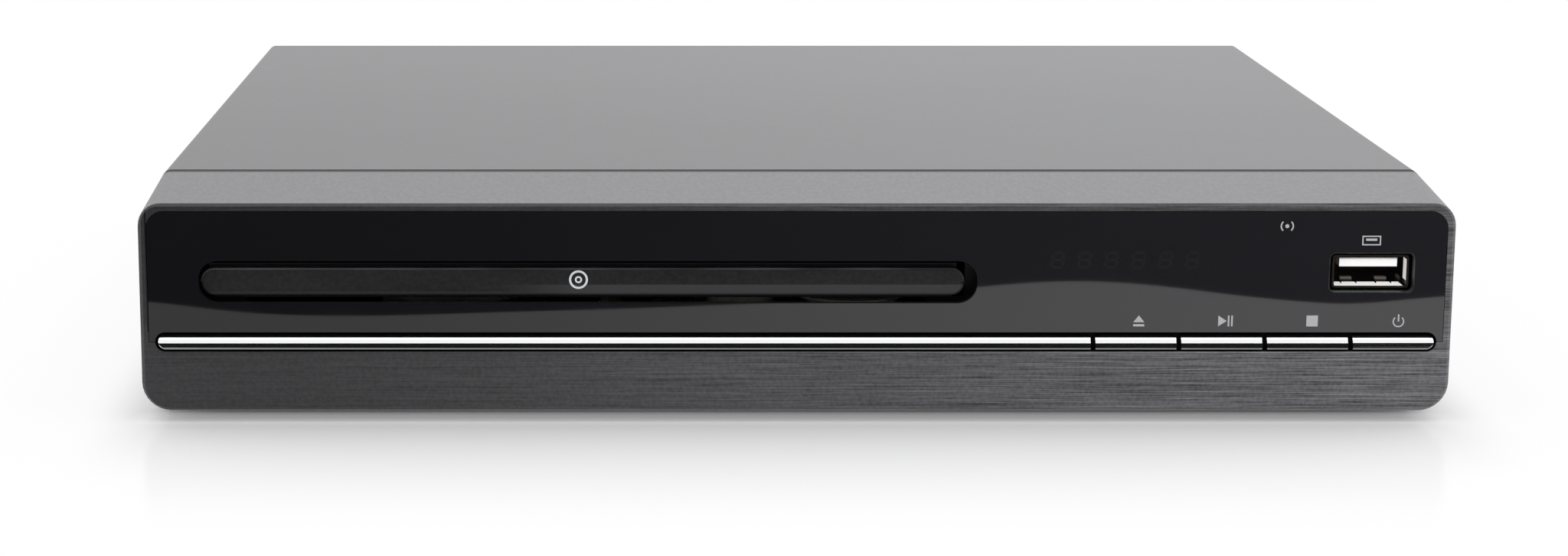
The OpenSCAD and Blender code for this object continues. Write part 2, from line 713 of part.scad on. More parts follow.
module rear_panel() color([0.7, 0.71, 0.72]) difference() {
    low = pan_z + 0.1;
    high = top_z - sheet_t - 0.1;
    y0 = rear_in_y - 2;
    y1 = rear_in_y + 2;
    play = 0.4;
    union() {
        block([-flange_half, rear_in_y, low], [flange_half, rear_in_y + sheet_t - eps, high - bend_r]);
        block([-flange_half + bend_r, rear_in_y, low],
              [flange_half - bend_r, rear_in_y + sheet_t - eps, high]);
        // Top flange folded forward
        block([-flange_half + 4, rear_in_y - 7, high - sheet_t], [flange_half - 4, rear_in_y + eps, high]);
    }
    slab(y0, y1) translate([scart_x, scart_z])
        square([scart_w + 2 * play, scart_h + 2 * play], center = true);
    for (x = concat(jack_x, [coax_x])) translate([x, 0, jack_z]) bar_y(jack_r + play, y0, y1);
    slab(y0, y1) translate([hdmi_x, board_top + hdmi_h / 2])
        square([hdmi_w + 2 * play, hdmi_h + 2 * play], center = true);
    slab(y0, y1) translate([inlet_x, inlet_z]) rounded(inlet_w + 2 * play, inlet_h + 2 * play, 2);
    for (x = rear_screw_x) translate([x, 0, rear_screw_z]) bar_y(screw_r - 0.3, y0, y1);
    translate([hdmi_x + 35, rear_in_y, 23]) rotate([90, 0, 0]) vents(7, 5, 2.2, 16, -2, 2);
}

module feet() color([0.12, 0.12, 0.12]) sides() for (y = foot_y) translate([foot_x, y, 0]) {
    r = foot_d / 2;
    rotate_extrude() polygon([[0, 0.4], [r - 3, 0.4], [r - 2.6, 0], [r - 0.8, 0], [r, 0.8],
        [r - 0.3, foot_h], [2.5, foot_h], [2.5, pan_z], [3, pan_z + 0.3], [2, pan_z + 2.4],
        [0, pan_z + 2.4]]);
}

// ---------------------------------------------------------------- drive

module loader_frame() color([0.13, 0.13, 0.14]) in_drive() {
    rail_in = wall_in - 6.5;
    open_front = cam_y - 1.6;
    tab_y = [frame_front + 5.6, hinge_l - 46, hinge_l - 14];
    difference() {
        union() {
            // Bed, side walls and ears
            block([-wall_out, frame_front, bed_low], [wall_out, frame_back, bed_top]);
            sides() {
                block([wall_in, frame_front, bed_low], [wall_out, frame_back, wall_top]);
                for (y = boss_y) {
                    block([wall_out - 1, y - 5, bed_low], [ear_out, y + 5, bed_top]);
                    translate([boss_x, y, 0]) post(boss_r, pan_z, bed_top);
                }
            }
            // Rear wall, low enough for the tray's guides to end in front of it
            block([-wall_out, frame_back - bed_t, bed_low], [wall_out, frame_back, tray_z - seat]);
            // Cradle round the loading motor
            translate([motor_x, motor_y, 0]) post(motor_r + 1.8, bed_low, bed_top + 5);
        }
        // Opening under the tilting deck, with the cam slider's path in front of it
        block([-deck_half - 2, open_front, bed_low - 1], [deck_half + 2, frame_back - 9, bed_top + 1]);
        block([-cam_shift - 9, open_front, bed_low - 1], [cam_shift + 9, cam_y + cam_t + 1.6, bed_top + 1]);
        translate([motor_x, motor_y, 0]) post(motor_r + 0.2, pan_z, bed_top + 6);
        sides() for (y = boss_y) translate([boss_x, y, 0]) post(1.3, pan_z + 1, bed_top + 1);
        // Windows in the side walls
        sides() for (y = [hinge_l - 30, hinge_l - 10])
            translate([wall_in + 1, y, bed_top + 3]) cube([6, 12, 5], center = true);
    }
    // Rails that the tray slides on, and tabs that hold it down
    sides() {
        block([rail_in, frame_front, rail_top - 2], [wall_in + eps, frame_back, rail_top]);
        for (y = tab_y) block([wall_in - 3, y - 4, tray_top + seat], [wall_in + eps, y + 4, wall_top]);
    }
    // Header over the tray's mouth
    block([-wall_out, frame_front + 0.4, tray_top + 0.6], [wall_out, frame_front + 4.4, tray_top + 3]);
    // Posts of the gears
    translate([gear_x, gear_y, 0]) post(post_r, bed_top - eps, level_4 + 1.6);
    translate([idler_x, idler_y, 0]) post(post_r, bed_top - eps, level_3 + 1.6);
    // Guides in front of the cam slider's plate and behind its rack
    block([-36, cam_front - seat - 1.4, bed_top - eps], [-12, cam_front - seat, bed_top + 2]);
    block([42, cam_front + 2 + seat, bed_top - eps], [60, cam_front + 3.4 + seat, bed_top + 2]);
    // Ears that carry the deck's hinge
    sides() difference() {
        block([deck_half + 0.8, hinge_l - 5, bed_low], [deck_half + 4.8, hinge_l + 5, hinge_z + 5]);
        translate([0, hinge_l, hinge_z]) bar_x(bush_r, deck_half, deck_half + 6);
    }
}

// Rubber bushes between the hinge pins and the frame's ears
module hinge_bushes() color([0.2, 0.2, 0.2]) in_drive() translate([0, hinge_l, hinge_z]) sides()
    difference() {
        bar_x(bush_r, deck_half + 0.8, deck_half + 4.8);
        bar_x(hinge_r + run, deck_half - 1, deck_half + 6);
    }

module clamp_bridge() color([0.14, 0.14, 0.15]) in_drive() difference() {
    rim_t = 1.6;
    top = bridge_z + bridge_t;
    union() {
        block([-wall_out, -bridge_half, bridge_z], [wall_out, bridge_half, top]);
        for (y = [-bridge_half, bridge_half - rim_t])
            block([-wall_out + 6, y, bridge_z], [wall_out - 6, y + rim_t, top + 2.2]);
        post(clamp_r + 5, bridge_z, top + eps);
        sides() for (x = [30, 48])
            block([x - rim_t / 2, -bridge_half, bridge_z], [x + rim_t / 2, bridge_half, top + 1.6]);
    }
    post(clamp_r + 1, bridge_z - 1, top + 3);
    sides() for (y = bridge_screw_y) translate([wall_in + 1, y, 0]) post(1.3, bridge_z - 1, top + 1);
    // Lightening slots beside the clamper
    sides() translate([39, 0, bridge_z - 1]) linear_extrude(bridge_t + 2) rounded(12, 26, 3);
}

module disc_clamper() color([0.16, 0.16, 0.17]) in_drive() {
    lid = bridge_z + bridge_t + seat;
    cup = 6.4;
    rotate_extrude() polygon([[hub_r + 0.75, clamp_z], [clamp_r - 0.6, clamp_z], [clamp_r, clamp_z + 0.6],
        [clamp_r, lid], [clamp_r + 3.4, lid], [clamp_r + 3.4, lid + 1.2], [cup + 3, lid + 1.2],
        [cup + 3, lid + 2.6], [cup, lid + 2.6], [cup, lid - 0.6], [0, lid - 0.6], [0, clamp_z + 1.8],
        [hub_r + 0.75, clamp_z + 1.8]]);
}

module clamp_magnet() color([0.45, 0.45, 0.47]) in_drive()
    post(6.3, bridge_z + bridge_t + seat - 0.6, bridge_z + bridge_t + seat + 2.2);

// Deck that carries the spindle, the rods and the sled
module traverse_frame() color([0.5, 0.5, 0.52]) in_drive() {
    rib = 1.6;
    skirt = deck_z - 4.6;
    difference() {
        union() {
            block([-deck_half, deck_front, deck_z], [deck_half, deck_back, deck_top]);
            block([-deck_half, deck_front, skirt], [deck_half, deck_front + rib, deck_z]);
            sides() block([deck_half - rib, deck_front, skirt], [deck_half, deck_back, deck_z]);
            block([-deck_half, deck_back - 8, hinge_z - 3.2], [deck_half, deck_back, deck_z]);
            // Blocks that hold the rods
            for (x = [-rod_half, rod_half], y = [rod_start - 4, rod_end])
                block([x - 3, y, rod_z - 2.6], [x + 3, y + 4, deck_z + eps]);
            // Bearing of the lead screw
            block([screw_x - 2, rod_end - 1, screw_z - 2.4], [deck_half, rod_end + 3, deck_z + eps]);
        }
        block([-window_half, rod_start, skirt - 1], [window_half, rod_end, deck_top + 1]);
        for (x = [-rod_half, rod_half]) translate([x, 0, rod_z]) bar_y(rod_r, rod_start - 3, rod_end + 3);
        translate([screw_x, 0, screw_z]) bar_y(1 + run, rod_end - 2, rod_end + 3.5);
        sled_motor_body(4);
        // Round holes that lighten the front of the deck
        sides() translate([21, -12, 0]) post(5, deck_z - 1, deck_top + 1);
    }
    // Hinge pins at the back and the pin that rides in the cam at the front
    translate([0, hinge_l, hinge_z]) sides() bar_x(hinge_r, deck_half - eps, deck_half + 4.4);
    translate([0, 0, cam_pin_z]) bar_y(cam_pin_r, cam_y + seat, deck_front + eps);
}

module spindle_motor() color([0.55, 0.55, 0.57]) in_drive() difference() {
    union() {
        post(spindle_r, deck_top, platter_z - platter_t - 0.4);
        post(spindle_r + 1.6, deck_top, deck_top + 0.8);
    }
    post(shaft_r + run, deck_top + 0.8, platter_z);
}

module turntable() color([0.2, 0.2, 0.21]) in_drive() {
    low = platter_z - platter_t;
    high = platter_z + hub_h;
    rotate_extrude() polygon([[0, deck_top + 1.2], [shaft_r, deck_top + 1.2], [shaft_r, low],
        [platter_r - 0.4, low], [platter_r, low + 0.4], [platter_r, platter_z], [hub_r, platter_z],
        [hub_r, high - 1], [hub_r - 1, high], [3.4, high], [3, high - 0.6], [0, high - 0.6]]);
}

module guide_rods() color([0.75, 0.75, 0.77]) in_drive()
    for (x = [-rod_half, rod_half]) translate([x, 0, rod_z]) bar_y(rod_r, rod_start - 3, rod_end + 3);

module optical_pickup() color([0.3, 0.3, 0.32]) in_drive() translate([0, lens_in, 0]) {
    h = pickup_half;
    difference() {
        union() {
            block([-13, -h, rod_z - 2.2], [13, h, deck_top + 1.4]);
            for (x = [-rod_half, rod_half]) block([x - 3, -h, rod_z - 2.6], [x + 3, h, rod_z + 2.6]);
            sides() block([12, -h + 2, rod_z - 2], [18, h - 2, rod_z + 1.6]);
            // Actuator housing under the lens
            translate([0, 0, deck_top + 1.4 - eps])
                linear_extrude(platter_z - deck_top - 4.6) rounded(19, 13, 2);
            // Arm that follows the lead screw
            block([rod_half, -2.5, screw_z - 1.4], [screw_x - 1.5 - 0.25, 2.5, screw_z + 1.4]);
        }
        for (x = [-rod_half, rod_half]) translate([x, 0, rod_z]) bar_y(rod_r + run, -h - 1, h + 1);
        // Cradle of the lens and the gaps beside it
        post(3.1, platter_z - 5, platter_z);
        sides() block([4.4, -4, platter_z - 5.5], [7.4, 4, platter_z]);
    }
}

module pickup_lens() color([0.55, 0.6, 0.75, 0.8]) in_drive() translate([0, lens_in, 0]) {
    post(3.1, platter_z - 5, platter_z - 3.2);
    translate([0, 0, platter_z - 3.2]) intersection() {
        translate([0, 0, -5.2]) sphere(6);
        post(3, 0, 2);
    }
}

module sled_motor_body(r)
    translate([screw_x - 0.8, 0, screw_z + 0.1]) bar_y(r, rod_start - 13, rod_start - 0.5);

module sled_motor() color([0.6, 0.6, 0.62]) in_drive() difference() {
    sled_motor_body(3.9);
    translate([screw_x, 0, screw_z]) bar_y(1 + run, rod_start - 4, rod_start);
}

// Lead screw with a helical thread drawn as a row of collars
module lead_screw() color([0.72, 0.72, 0.74]) in_drive() translate([screw_x, 0, screw_z]) {
    bar_y(1, rod_start - 3.5, rod_end + 2.6);
    bar_y(1.2, rod_start + 0.4, rod_end - 1.6);
    for (y = [rod_start + 1.5 : 1.5 : rod_end - 3]) translate([0, y, 0]) rotate([-90, 0, 0])
        rotate_extrude() polygon([[0.9, -0.45], [1.5, -0.15], [1.5, 0.15], [0.9, 0.45]]);
}

module loading_motor() color([0.7, 0.7, 0.72]) in_drive() translate([motor_x, motor_y, 0]) difference() {
    union() {
        post(motor_r, pan_z + 0.8, level_3 - 0.7);
        post(3, pan_z + 0.8, level_3 - 0.3);
    }
    post(shaft_r + run, level_3 - 6, level_3 + 1);
}

module motor_pulley() color([0.85, 0.83, 0.78]) in_drive() translate([motor_x, motor_y, 0]) {
    r = spur_r - run;
    rim_r = r + 1.4;
    rotate_extrude() polygon([[0, level_3 - 5], [shaft_r, level_3 - 5], [shaft_r, level_3],
        [rim_r, level_3], [rim_r, level_3 + 0.5], [r, belt_low], [r, belt_high], [rim_r, belt_z + 1.2],
        [rim_r, belt_z + 1.7], [0, belt_z + 1.7]]);
}

// Square belt: an arc round each pulley and a straight run on each side
module drive_belt() color([0.08, 0.08, 0.08]) in_drive() translate([idler_x, idler_y, belt_z - belt_t / 2]) {
    l = norm([motor_x - idler_x, motor_y - idler_y]);
    a = acos((pulley_r - spur_r) / l);
    run_l = l * sin(a);
    rotate(atan2(motor_y - idler_y, motor_x - idler_x)) {
        rotate(a) rotate_extrude(angle = 360 - 2 * a) translate([pulley_r, 0]) square(belt_t);
        translate([l, 0, 0]) rotate(-a) rotate_extrude(angle = 2 * a) translate([spur_r, 0]) square(belt_t);
        for (s = [0, 1]) mirror([0, s, 0]) rotate(a) translate([pulley_r, -run_l, 0])
            cube([belt_t, run_l, belt_t]);
    }
}

// Pulley that turns the reduction pinion below it
module pulley_gear() color([0.9, 0.9, 0.86]) in_drive() translate([idler_x, idler_y, 0]) difference() {
    r = pulley_r - run;
    rim_r = pulley_r + 1.3;
    union() {
        rotate([0, 0, idler_a + 180 + 180 / idler_z]) gear(train_m, idler_z, level_1 + 4, level_3);
        post(idler_pr - 1.25 * train_m, level_1, level_1 + 4 + eps);
        rotate_extrude() polygon([[0, level_3 - 0.4], [rim_r, level_3 - 0.4], [rim_r, level_3 + 0.4],
            [r, belt_low], [r, belt_high], [rim_r, level_3 + 3], [rim_r, level_3 + 3.4],
            [0, level_3 + 3.4]]);
    }
    post(post_r + run, level_1 - 1, level_3 + 1.8);
    for (a = [0 : 72 : 359]) rotate([0, 0, a]) translate([5.6, 0, 0]) post(1.4, level_3 - 1, belt_z + 2);
}

// Drive gear: cam pinion below, wheel in the middle, tray pinion on top
module drive_gear() color([0.92, 0.92, 0.88]) in_drive() translate([gear_x, gear_y, 0]) difference() {
    union() {
        rotate([0, 0, 90]) gear(cam_m, cam_z, level_1, level_2 + eps);
        rotate([0, 0, idler_a]) gear(train_m, wheel_z, level_2, level_2 + 2.6);
        post(6, level_2 + 2.6 - eps, level_4 + eps);
        gear(rack_m, pinion_z, level_4, under_z - seat);
    }
    post(post_r + run, level_1 - 1, level_4 + 1.8);
    for (a = [0 : 60 : 359]) rotate([0, 0, a]) translate([(wheel_pr + 6) / 2, 0, 0])
        post(3, level_2 - 1, level_2 + 3);
}

// Slider with the slanted slot that lifts the deck
module cam_slider() color([0.88, 0.88, 0.84]) in_drive() {
    grip = cam_pin_r + 0.3;
    wall_low = cam_pin_z - cam_drop - grip - 1.3;
    wall_high = cam_pin_z + grip + 1.6;
    x0 = -cam_shift - 6;
    x1 = 6;
    low = bed_top + seat;
    rack_y = gear_y + cam_pr;
    rack_n = ceil(cam_shift / PI / cam_m) + 5;
    slant = cam_shift / cos(cam_slope);
    difference() {
        block([x0, cam_y, wall_low], [x1, cam_y + cam_t, wall_high]);
        // Slanted slot: straight between its two round ends
        for (q = [0, 1]) translate([-q * cam_shift, 0, cam_pin_z - q * cam_drop])
            bar_y(grip, cam_y - 1, cam_y + cam_t + 1);
        translate([0, cam_y - 1, cam_pin_z]) rotate([0, -cam_slope, 0])
            translate([-slant, 0, -grip]) cube([slant, cam_t + 2, 2 * grip]);
    }
    // Plate that slides on the bed, and the rack's arm
    block([x0, cam_front, low], [x1, cam_y + eps, low + 1.6]);
    translate([gear_x + 3 * PI * cam_m, rack_y, low]) rotate([0, 0, 180]) linear_extrude(3)
        rack_outline(cam_m, rack_n, 2.6);
    block([x1 - 6, rack_y + 1, low], [gear_x + 3 * PI * cam_m, cam_front + 2, low + 3]);
}

// ---------------------------------------------------------------- boards behind the front

module control_board() color([0.1, 0.35, 0.18]) difference() {
    block([control_x[0], board_y, control_z[0]], [control_x[1], board_y + board_t, control_z[1]]);
    for (b = control_boss) translate([b[0], 0, b[1]]) bar_y(1.4, board_y - 1, board_y + board_t + 1);
}

module tact_switches() color([0.2, 0.2, 0.2]) for (x = key_x) translate([x, 0, strip_z]) {
    slab(board_y - 3.5, board_y) square([6, 6], center = true);
    bar_y(1.7, switch_tip_y + key_travel + 0.1, board_y - 3.4);
}

module display_module() color([0.22, 0.06, 0.06]) difference() {
    y0 = front_y + fascia_t + seat;
    slab(y0, board_y) translate([window_x, window_cz]) square([window_w - 1, window_h - 1], center = true);
    // Four wells, one for each digit
    for (i = [0 : 3]) slab(front_y, y0 + 0.5) translate([window_x + (i - 1.5) * 7, window_cz])
        square([4.6, 6.6], center = true);
}

module ir_receiver() color([0.12, 0.1, 0.12]) translate([ir_x, front_y + fascia_t + seat, ir_z]) {
    slab(2.2, control_y - fascia_t - seat) square([5, 5.4], center = true);
    bar_y(ir_r - 0.4, 0.6, 2.3);
}

usb_shell_w = 13.1;
usb_shell_h = 5.7;
usb_t = 0.35;
usb_y = front_y + usb_recess;
tongue_y = usb_y + 2;
tongue_z = [0.5, 2];

module usb_shell() color([0.78, 0.78, 0.8]) translate([usb_x, 0, usb_cz]) {
    low = usb_t - usb_shell_h / 2;
    difference() {
        slab(usb_y, board_y) rounded(usb_shell_w, usb_shell_h, 0.6);
        slab(usb_y - 1, board_y - 0.6) rounded(usb_shell_w - 2 * usb_t, usb_shell_h - 2 * usb_t, 0.3);
        // Slits that free the spring tabs
        for (x = [-3, 3], s = [-1, 1]) translate([x + s * 1.3, 0, 0])
            block([-0.2, usb_y + 1.8, -usb_shell_h], [0.2, usb_y + 7, 0]);
    }
    for (x = [-3, 3]) block([x - 1, usb_y + 5.4, low - eps], [x + 1, usb_y + 6.4, low + 0.5]);
}

module usb_tongue() color([0.95, 0.95, 0.95]) translate([usb_x, 0, usb_cz]) difference() {
    block([-4.95, tongue_y, tongue_z[0]], [4.95, board_y - 0.6, tongue_z[1]]);
    for (x = [-3.5, -1.2, 1.2, 3.5])
        block([x - 0.6, tongue_y + 0.8, tongue_z[0] - 1], [x + 0.6, tongue_y + 8.4, tongue_z[0] + 0.15]);
}

// ---------------------------------------------------------------- boards at the back

main_holes = [for (x = [main_x[0] + 5, main_x[1] - 5]) [x, main_y[0] + 5]];
power_holes = [for (x = [power_x[0] + 5, power_x[1] - 5], y = [power_y[0] + 5, power_y[1] - 5]) [x, y]];

module main_board() color([0.1, 0.35, 0.18]) difference() {
    block([main_x[0], main_y[0], board_low], [main_x[1], main_y[1], board_top]);
    for (h = main_holes) translate([h[0], h[1], 0]) post(1.7, board_low - 1, board_top + 1);
}

module power_board() color([0.55, 0.42, 0.2]) difference() {
    block([power_x[0], power_y[0], board_low], [power_x[1], power_y[1], board_top]);
    for (h = power_holes) translate([h[0], h[1], 0]) post(1.7, board_low - 1, board_top + 1);
    // Insulation slot between the mains side and the low-voltage side
    translate([power_x[0] + 0.3 * power_w, power_y[0], 0])
        block([0, 24, board_low - 1], [2, 58, board_top + 1]);
}

module board_chips() color([0.08, 0.08, 0.09]) {
    // Each chip on the main board: place, width, share of the free depth, height
    for (c = [[41, 6, 0.2, 1.5], [59, 8, 0.62, 1.2], [87, 20, 0.78, 1.8], [117, 10, 0.31, 1.6]])
        translate([main_x[0] + c[0], main_y[0] + spare_d / 2 + 2, board_top])
            linear_extrude(c[3]) square([c[1], c[2] * spare_d], center = true);
    block([power_x[0] + 6, power_y[0] + 10, board_top], [power_x[0] + 13, power_y[0] + 17, board_top + 4]);
}

module heat_sink() color([0.75, 0.75, 0.77]) translate([power_x[0] + 3, power_y[0] + 18, board_top]) {
    high = 18;
    pitch = 5.3;
    cube([2, 6.42 * pitch, high]);
    for (i = [0:6]) translate([2 - eps, i * pitch, 0]) cube([0.11 * power_w, 1.8, high]);
}

module transformer() color([0.75, 0.6, 0.15])
    translate([power_x[0] + 0.4 * power_w, power_y[0] + 40, board_top]) {
        w = 0.31 * power_w;
        difference() {
            translate([-0.125 * w, -13, 2]) cube([0.35 * w, 26, 19]);
            for (y = [-9, 4.5]) translate([-0.2 * w, y, 6]) cube([0.5 * w, 4.5, 11]);
        }
        translate([-0.45 * w, -8.5, 0]) cube([w, 17, 5]);
        translate([0.05 * w, 0, 5 - eps]) difference() {
            linear_extrude(13) rounded(0.95 * w, 16.4, 4);
            translate([-0.175 * w, -8.4, 1]) cube([0.35 * w, 1.2, 11]);
        }
    }

module capacitors() color([0.15, 0.18, 0.3]) {
    // Each one: place, radius, height
    for (c = [[power_x[0] + 0.78 * power_w, power_y[0] + 40, 8, 24],
              [power_x[0] + 0.37 * power_w, power_y[0] + 14, 4, 12],
              [power_x[0] + 0.58 * power_w, power_y[0] + 14, 4, 12],
              [power_x[0] + 0.79 * power_w, power_y[0] + 14, 4, 14],
              [main_x[0] + 31, main_y[0] + 0.35 * spare_d, 0.12 * spare_d, 8],
              [main_x[0] + 47, main_y[0] + 0.25 * spare_d, 0.12 * spare_d, 8]])
        translate([c[0], c[1], board_top]) capacitor(c[2], c[3]);
}

// Round can with the groove near its top edge
module capacitor(r, h) rotate_extrude()
    polygon([[0, 0], [r, 0], [r, h - 0.6], [0.9 * r, h], [0.8 * r, h], [0.76 * r, h - 0.3], [0, h - 0.3]]);

// Round audio or video socket: barrel with the insulator's centre hole
module jack(x) translate([x, 0, jack_z]) difference() {
    union() {
        bar_y(jack_r, rear_in_y - 1, back_y + jack_out);
        bar_y(jack_r + 0.3, rear_in_y - 1, back_y + 0.6);
    }
    bar_y(1.6, back_y, back_y + jack_out + 1);
    difference() {
        bar_y(jack_r - 0.6, back_y + jack_out - 0.8, back_y + jack_out + 1);
        bar_y(2.3, back_y, back_y + jack_out + 2);
    }
}

module jack_block() color([0.15, 0.15, 0.16]) {
    block([jack_x[0] - jack_pitch / 2 + 1, rear_in_y - 13, board_top],
          [jack_x[2] + jack_pitch / 2 - 1, rear_in_y - 0.1, jack_z + 6]);
    for (x = jack_x) jack(x);
}

module coax_socket() color([0.8, 0.42, 0.1]) {
    block([coax_x - 5, rear_in_y - 12, board_top], [coax_x + 5, rear_in_y - 0.1, jack_z + 5.6]);
    jack(coax_x);
}

module hdmi_socket() color([0.78, 0.78, 0.8]) translate([hdmi_x, 0, board_top]) {
    difference() {
        slab(rear_in_y - 10, back_y + 0.2) hdmi_outline(hdmi_w / 2, 0, hdmi_h);
        slab(rear_in_y - 8, back_y + 1) hdmi_outline(hdmi_w / 2 - 0.5, 0.5, hdmi_h - 0.5);
    }
    block([-5.4, rear_in_y - 8.1, 2.5], [5.4, back_y - 1.4, 3.7]);
}

// Outline of half width w between two heights, its lower corners cut off
module hdmi_outline(w, z0, z1)
    polygon([[1.5 - w, z0], [w - 1.5, z0], [w, z0 + 1.6], [w, z1], [-w, z1], [-w, z0 + 1.6]]);

module scart_socket() color([0.1, 0.1, 0.11]) translate([scart_x, 0, board_top]) {
    w = scart_w / 2;
    difference() {
        slab(rear_in_y - socket_d, back_y + 2) scart_outline(w, 0, scart_h, 3);
        slab(back_y - 8, back_y + 3) scart_outline(w - 1, 1.2, scart_h - 1.2, 2.4);
    }
    // Contact carrier with two rows of slots
    difference() {
        block([4 - w, back_y - 8.1, 4], [w - 4, back_y + 1, 10]);
        for (i = [0:9], s = [0, 1]) translate([6 - w + i * 3.8 + s * 1.9, 0, 4.7 + s * 2.8])
            block([-0.4, back_y - 6, 0], [0.9, back_y + 2, 1.9]);
    }
}

// Outline of half width w between two heights, one upper corner cut off by c
module scart_outline(w, z0, z1, c) polygon([[-w, z0], [w, z0], [w, z1 - c], [w - c, z1], [-w, z1]]);

module mains_inlet() color([0.12, 0.12, 0.13]) translate([inlet_x, 0, inlet_z]) {
    w = inlet_w / 2;
    pin_x = 4.3;
    difference() {
        union() {
            slab(rear_in_y - 12, back_y + 0.4) rounded(inlet_w, inlet_h, 2);
            slab(back_y + 0.1, back_y + 1.5) rounded(inlet_w + 5, inlet_h + 4, 2.4);
        }
        // Cavity for the plug: two round ends that meet at the middle
        sides() translate([pin_x, 0, 0]) bar_y(4, rear_in_y - 9, back_y + 2);
        slab(rear_in_y - 9, back_y + 2) square([2 * pin_x, 6], center = true);
    }
    sides() translate([pin_x, 0, 0]) bar_y(1.2, rear_in_y - 9.1, back_y - 1.2);
    block([1 - w, rear_in_y - 11.9, board_top - inlet_z], [w - 1, rear_in_y - 2, 0.5 - inlet_h / 2]);
}

// ---------------------------------------------------------------- fasteners

module board_standoffs() color([0.75, 0.7, 0.4])
    for (h = concat(main_holes, power_holes)) translate([h[0], h[1], 0]) difference() {
        post(3, pan_z, board_low);
        post(1.3, pan_z + 1, board_low + 1);
    }

// Pan-head screw that points down, its head resting at z = 0
module screw_down(r, l, head_r, head_h) rotate_extrude()
    polygon([[0, -l], [r * 0.6, -l], [r, 0.8 - l], [r, 0], [head_r, 0], [head_r, head_h / 2],
             [head_r * 0.7, head_h], [0, head_h]]);

module case_screws() color([0.2, 0.2, 0.21]) {
    sides() for (y = side_screw_y) translate([cover_w / 2, y, side_screw_z]) rotate([0, 90, 0])
        screw_down(screw_r, 4, 2.8, 1.2);
    for (x = rear_screw_x) translate([x, back_y, rear_screw_z]) rotate([-90, 0, 0])
        screw_down(screw_r - 0.35, 4, 2.8, 1.2);
}

module loader_screws() color([0.7, 0.7, 0.72]) in_drive() sides() {
    for (y = boss_y) translate([boss_x, y, bed_top]) screw_down(1.25, 4.4, 2.2, 1.2);
    for (y = bridge_screw_y) translate([wall_in + 1, y, bridge_z + bridge_t])
        screw_down(1.25, 1.8, 2.2, 1.1);
}

module board_screws() color([0.7, 0.7, 0.72]) {
    for (h = concat(main_holes, power_holes)) translate([h[0], h[1], board_top])
        screw_down(1.25, 5, 2.6, 1.2);
    for (b = control_boss) translate([b[0], board_y + board_t, b[1]]) rotate([-90, 0, 0])
        screw_down(boss_hole - 0.05, 5, 2.2, 1.1);
}

// ---------------------------------------------------------------- drawing

front_panel();
gloss_fascia();
trim_bar();
eject_button();
play_button();
stop_button();
power_button();
tray_door();
disc_tray();
top_cover();
base_pan();
rear_panel();
feet();
loader_frame();
clamp_bridge();
disc_clamper();
clamp_magnet();
traverse_frame();
hinge_bushes();
spindle_motor();
turntable();
guide_rods();
optical_pickup();
pickup_lens();
sled_motor();
lead_screw();
loading_motor();
motor_pulley();
drive_belt();
pulley_gear();
drive_gear();
cam_slider();
control_board();
tact_switches();
display_module();
ir_receiver();
usb_shell();
usb_tongue();
main_board();
board_chips();
heat_sink();
hdmi_socket();
jack_block();
coax_socket();
scart_socket();
mains_inlet();
power_board();
transformer();
capacitors();
board_standoffs();
case_screws();
loader_screws();
board_screws();
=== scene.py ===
# %% [markdown]
# # A slim disc player with a sliding tray
# The player is a low steel box behind a moulded front, with a tray that slides out of it.
# Its solids come ready from a CAD model, so this lesson is about finishes, light and the
# few things that are too thin to be solids, such as the printed signs.
# Everything is in metres, with X to the right, Y to the back and Z up.

# %% Load the CAD frame
import math

import bpy
import numpy as np
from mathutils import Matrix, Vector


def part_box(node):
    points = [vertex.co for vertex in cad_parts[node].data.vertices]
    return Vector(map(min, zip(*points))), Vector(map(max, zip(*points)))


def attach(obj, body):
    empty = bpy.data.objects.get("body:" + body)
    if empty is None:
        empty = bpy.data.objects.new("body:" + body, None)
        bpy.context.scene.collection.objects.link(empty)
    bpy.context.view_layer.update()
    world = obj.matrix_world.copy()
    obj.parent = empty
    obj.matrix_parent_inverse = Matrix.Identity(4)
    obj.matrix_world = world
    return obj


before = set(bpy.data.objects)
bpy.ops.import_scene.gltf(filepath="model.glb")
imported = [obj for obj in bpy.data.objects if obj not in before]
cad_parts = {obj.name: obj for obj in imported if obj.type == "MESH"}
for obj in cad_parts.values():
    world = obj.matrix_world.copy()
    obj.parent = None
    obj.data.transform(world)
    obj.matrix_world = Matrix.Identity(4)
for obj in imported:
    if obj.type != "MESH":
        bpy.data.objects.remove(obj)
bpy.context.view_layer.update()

MM = 0.001

# %% [markdown]
# ## The camera
# A product picture of a low box is taken from a little above it, with a long lens, so that
# the front stays square and the top shows as a narrow trapezium. The camera stands left of
# the middle and looks straight back, and the lens is shifted sideways to centre the player.

# %% Camera
SENSOR_MM = 36.0
PICTURE_WIDTH_PX = 2048
FOCAL_PX = 4267.4
CAMERA_MM = (-28.5, -651.75, 134.41)
LOOK_DOWN_DEG = 11.251
SIDE_SHIFT = 0.09835

camera_data = bpy.data.cameras.new("studio_camera")
camera_data.sensor_width = SENSOR_MM
camera_data.lens = SENSOR_MM * FOCAL_PX / PICTURE_WIDTH_PX
camera_data.shift_x = SIDE_SHIFT
camera_data.clip_start, camera_data.clip_end = 0.01, 60.0
camera = bpy.data.objects.new("studio_camera", camera_data)
camera.location = [c * MM for c in CAMERA_MM]
camera.rotation_euler = (math.radians(90 - LOOK_DOWN_DEG), 0, 0)
bpy.context.scene.collection.objects.link(camera)
bpy.context.scene.camera = camera
bpy.context.scene.view_settings.view_transform = "Standard"
print("lens in mm:", round(camera_data.lens, 2))

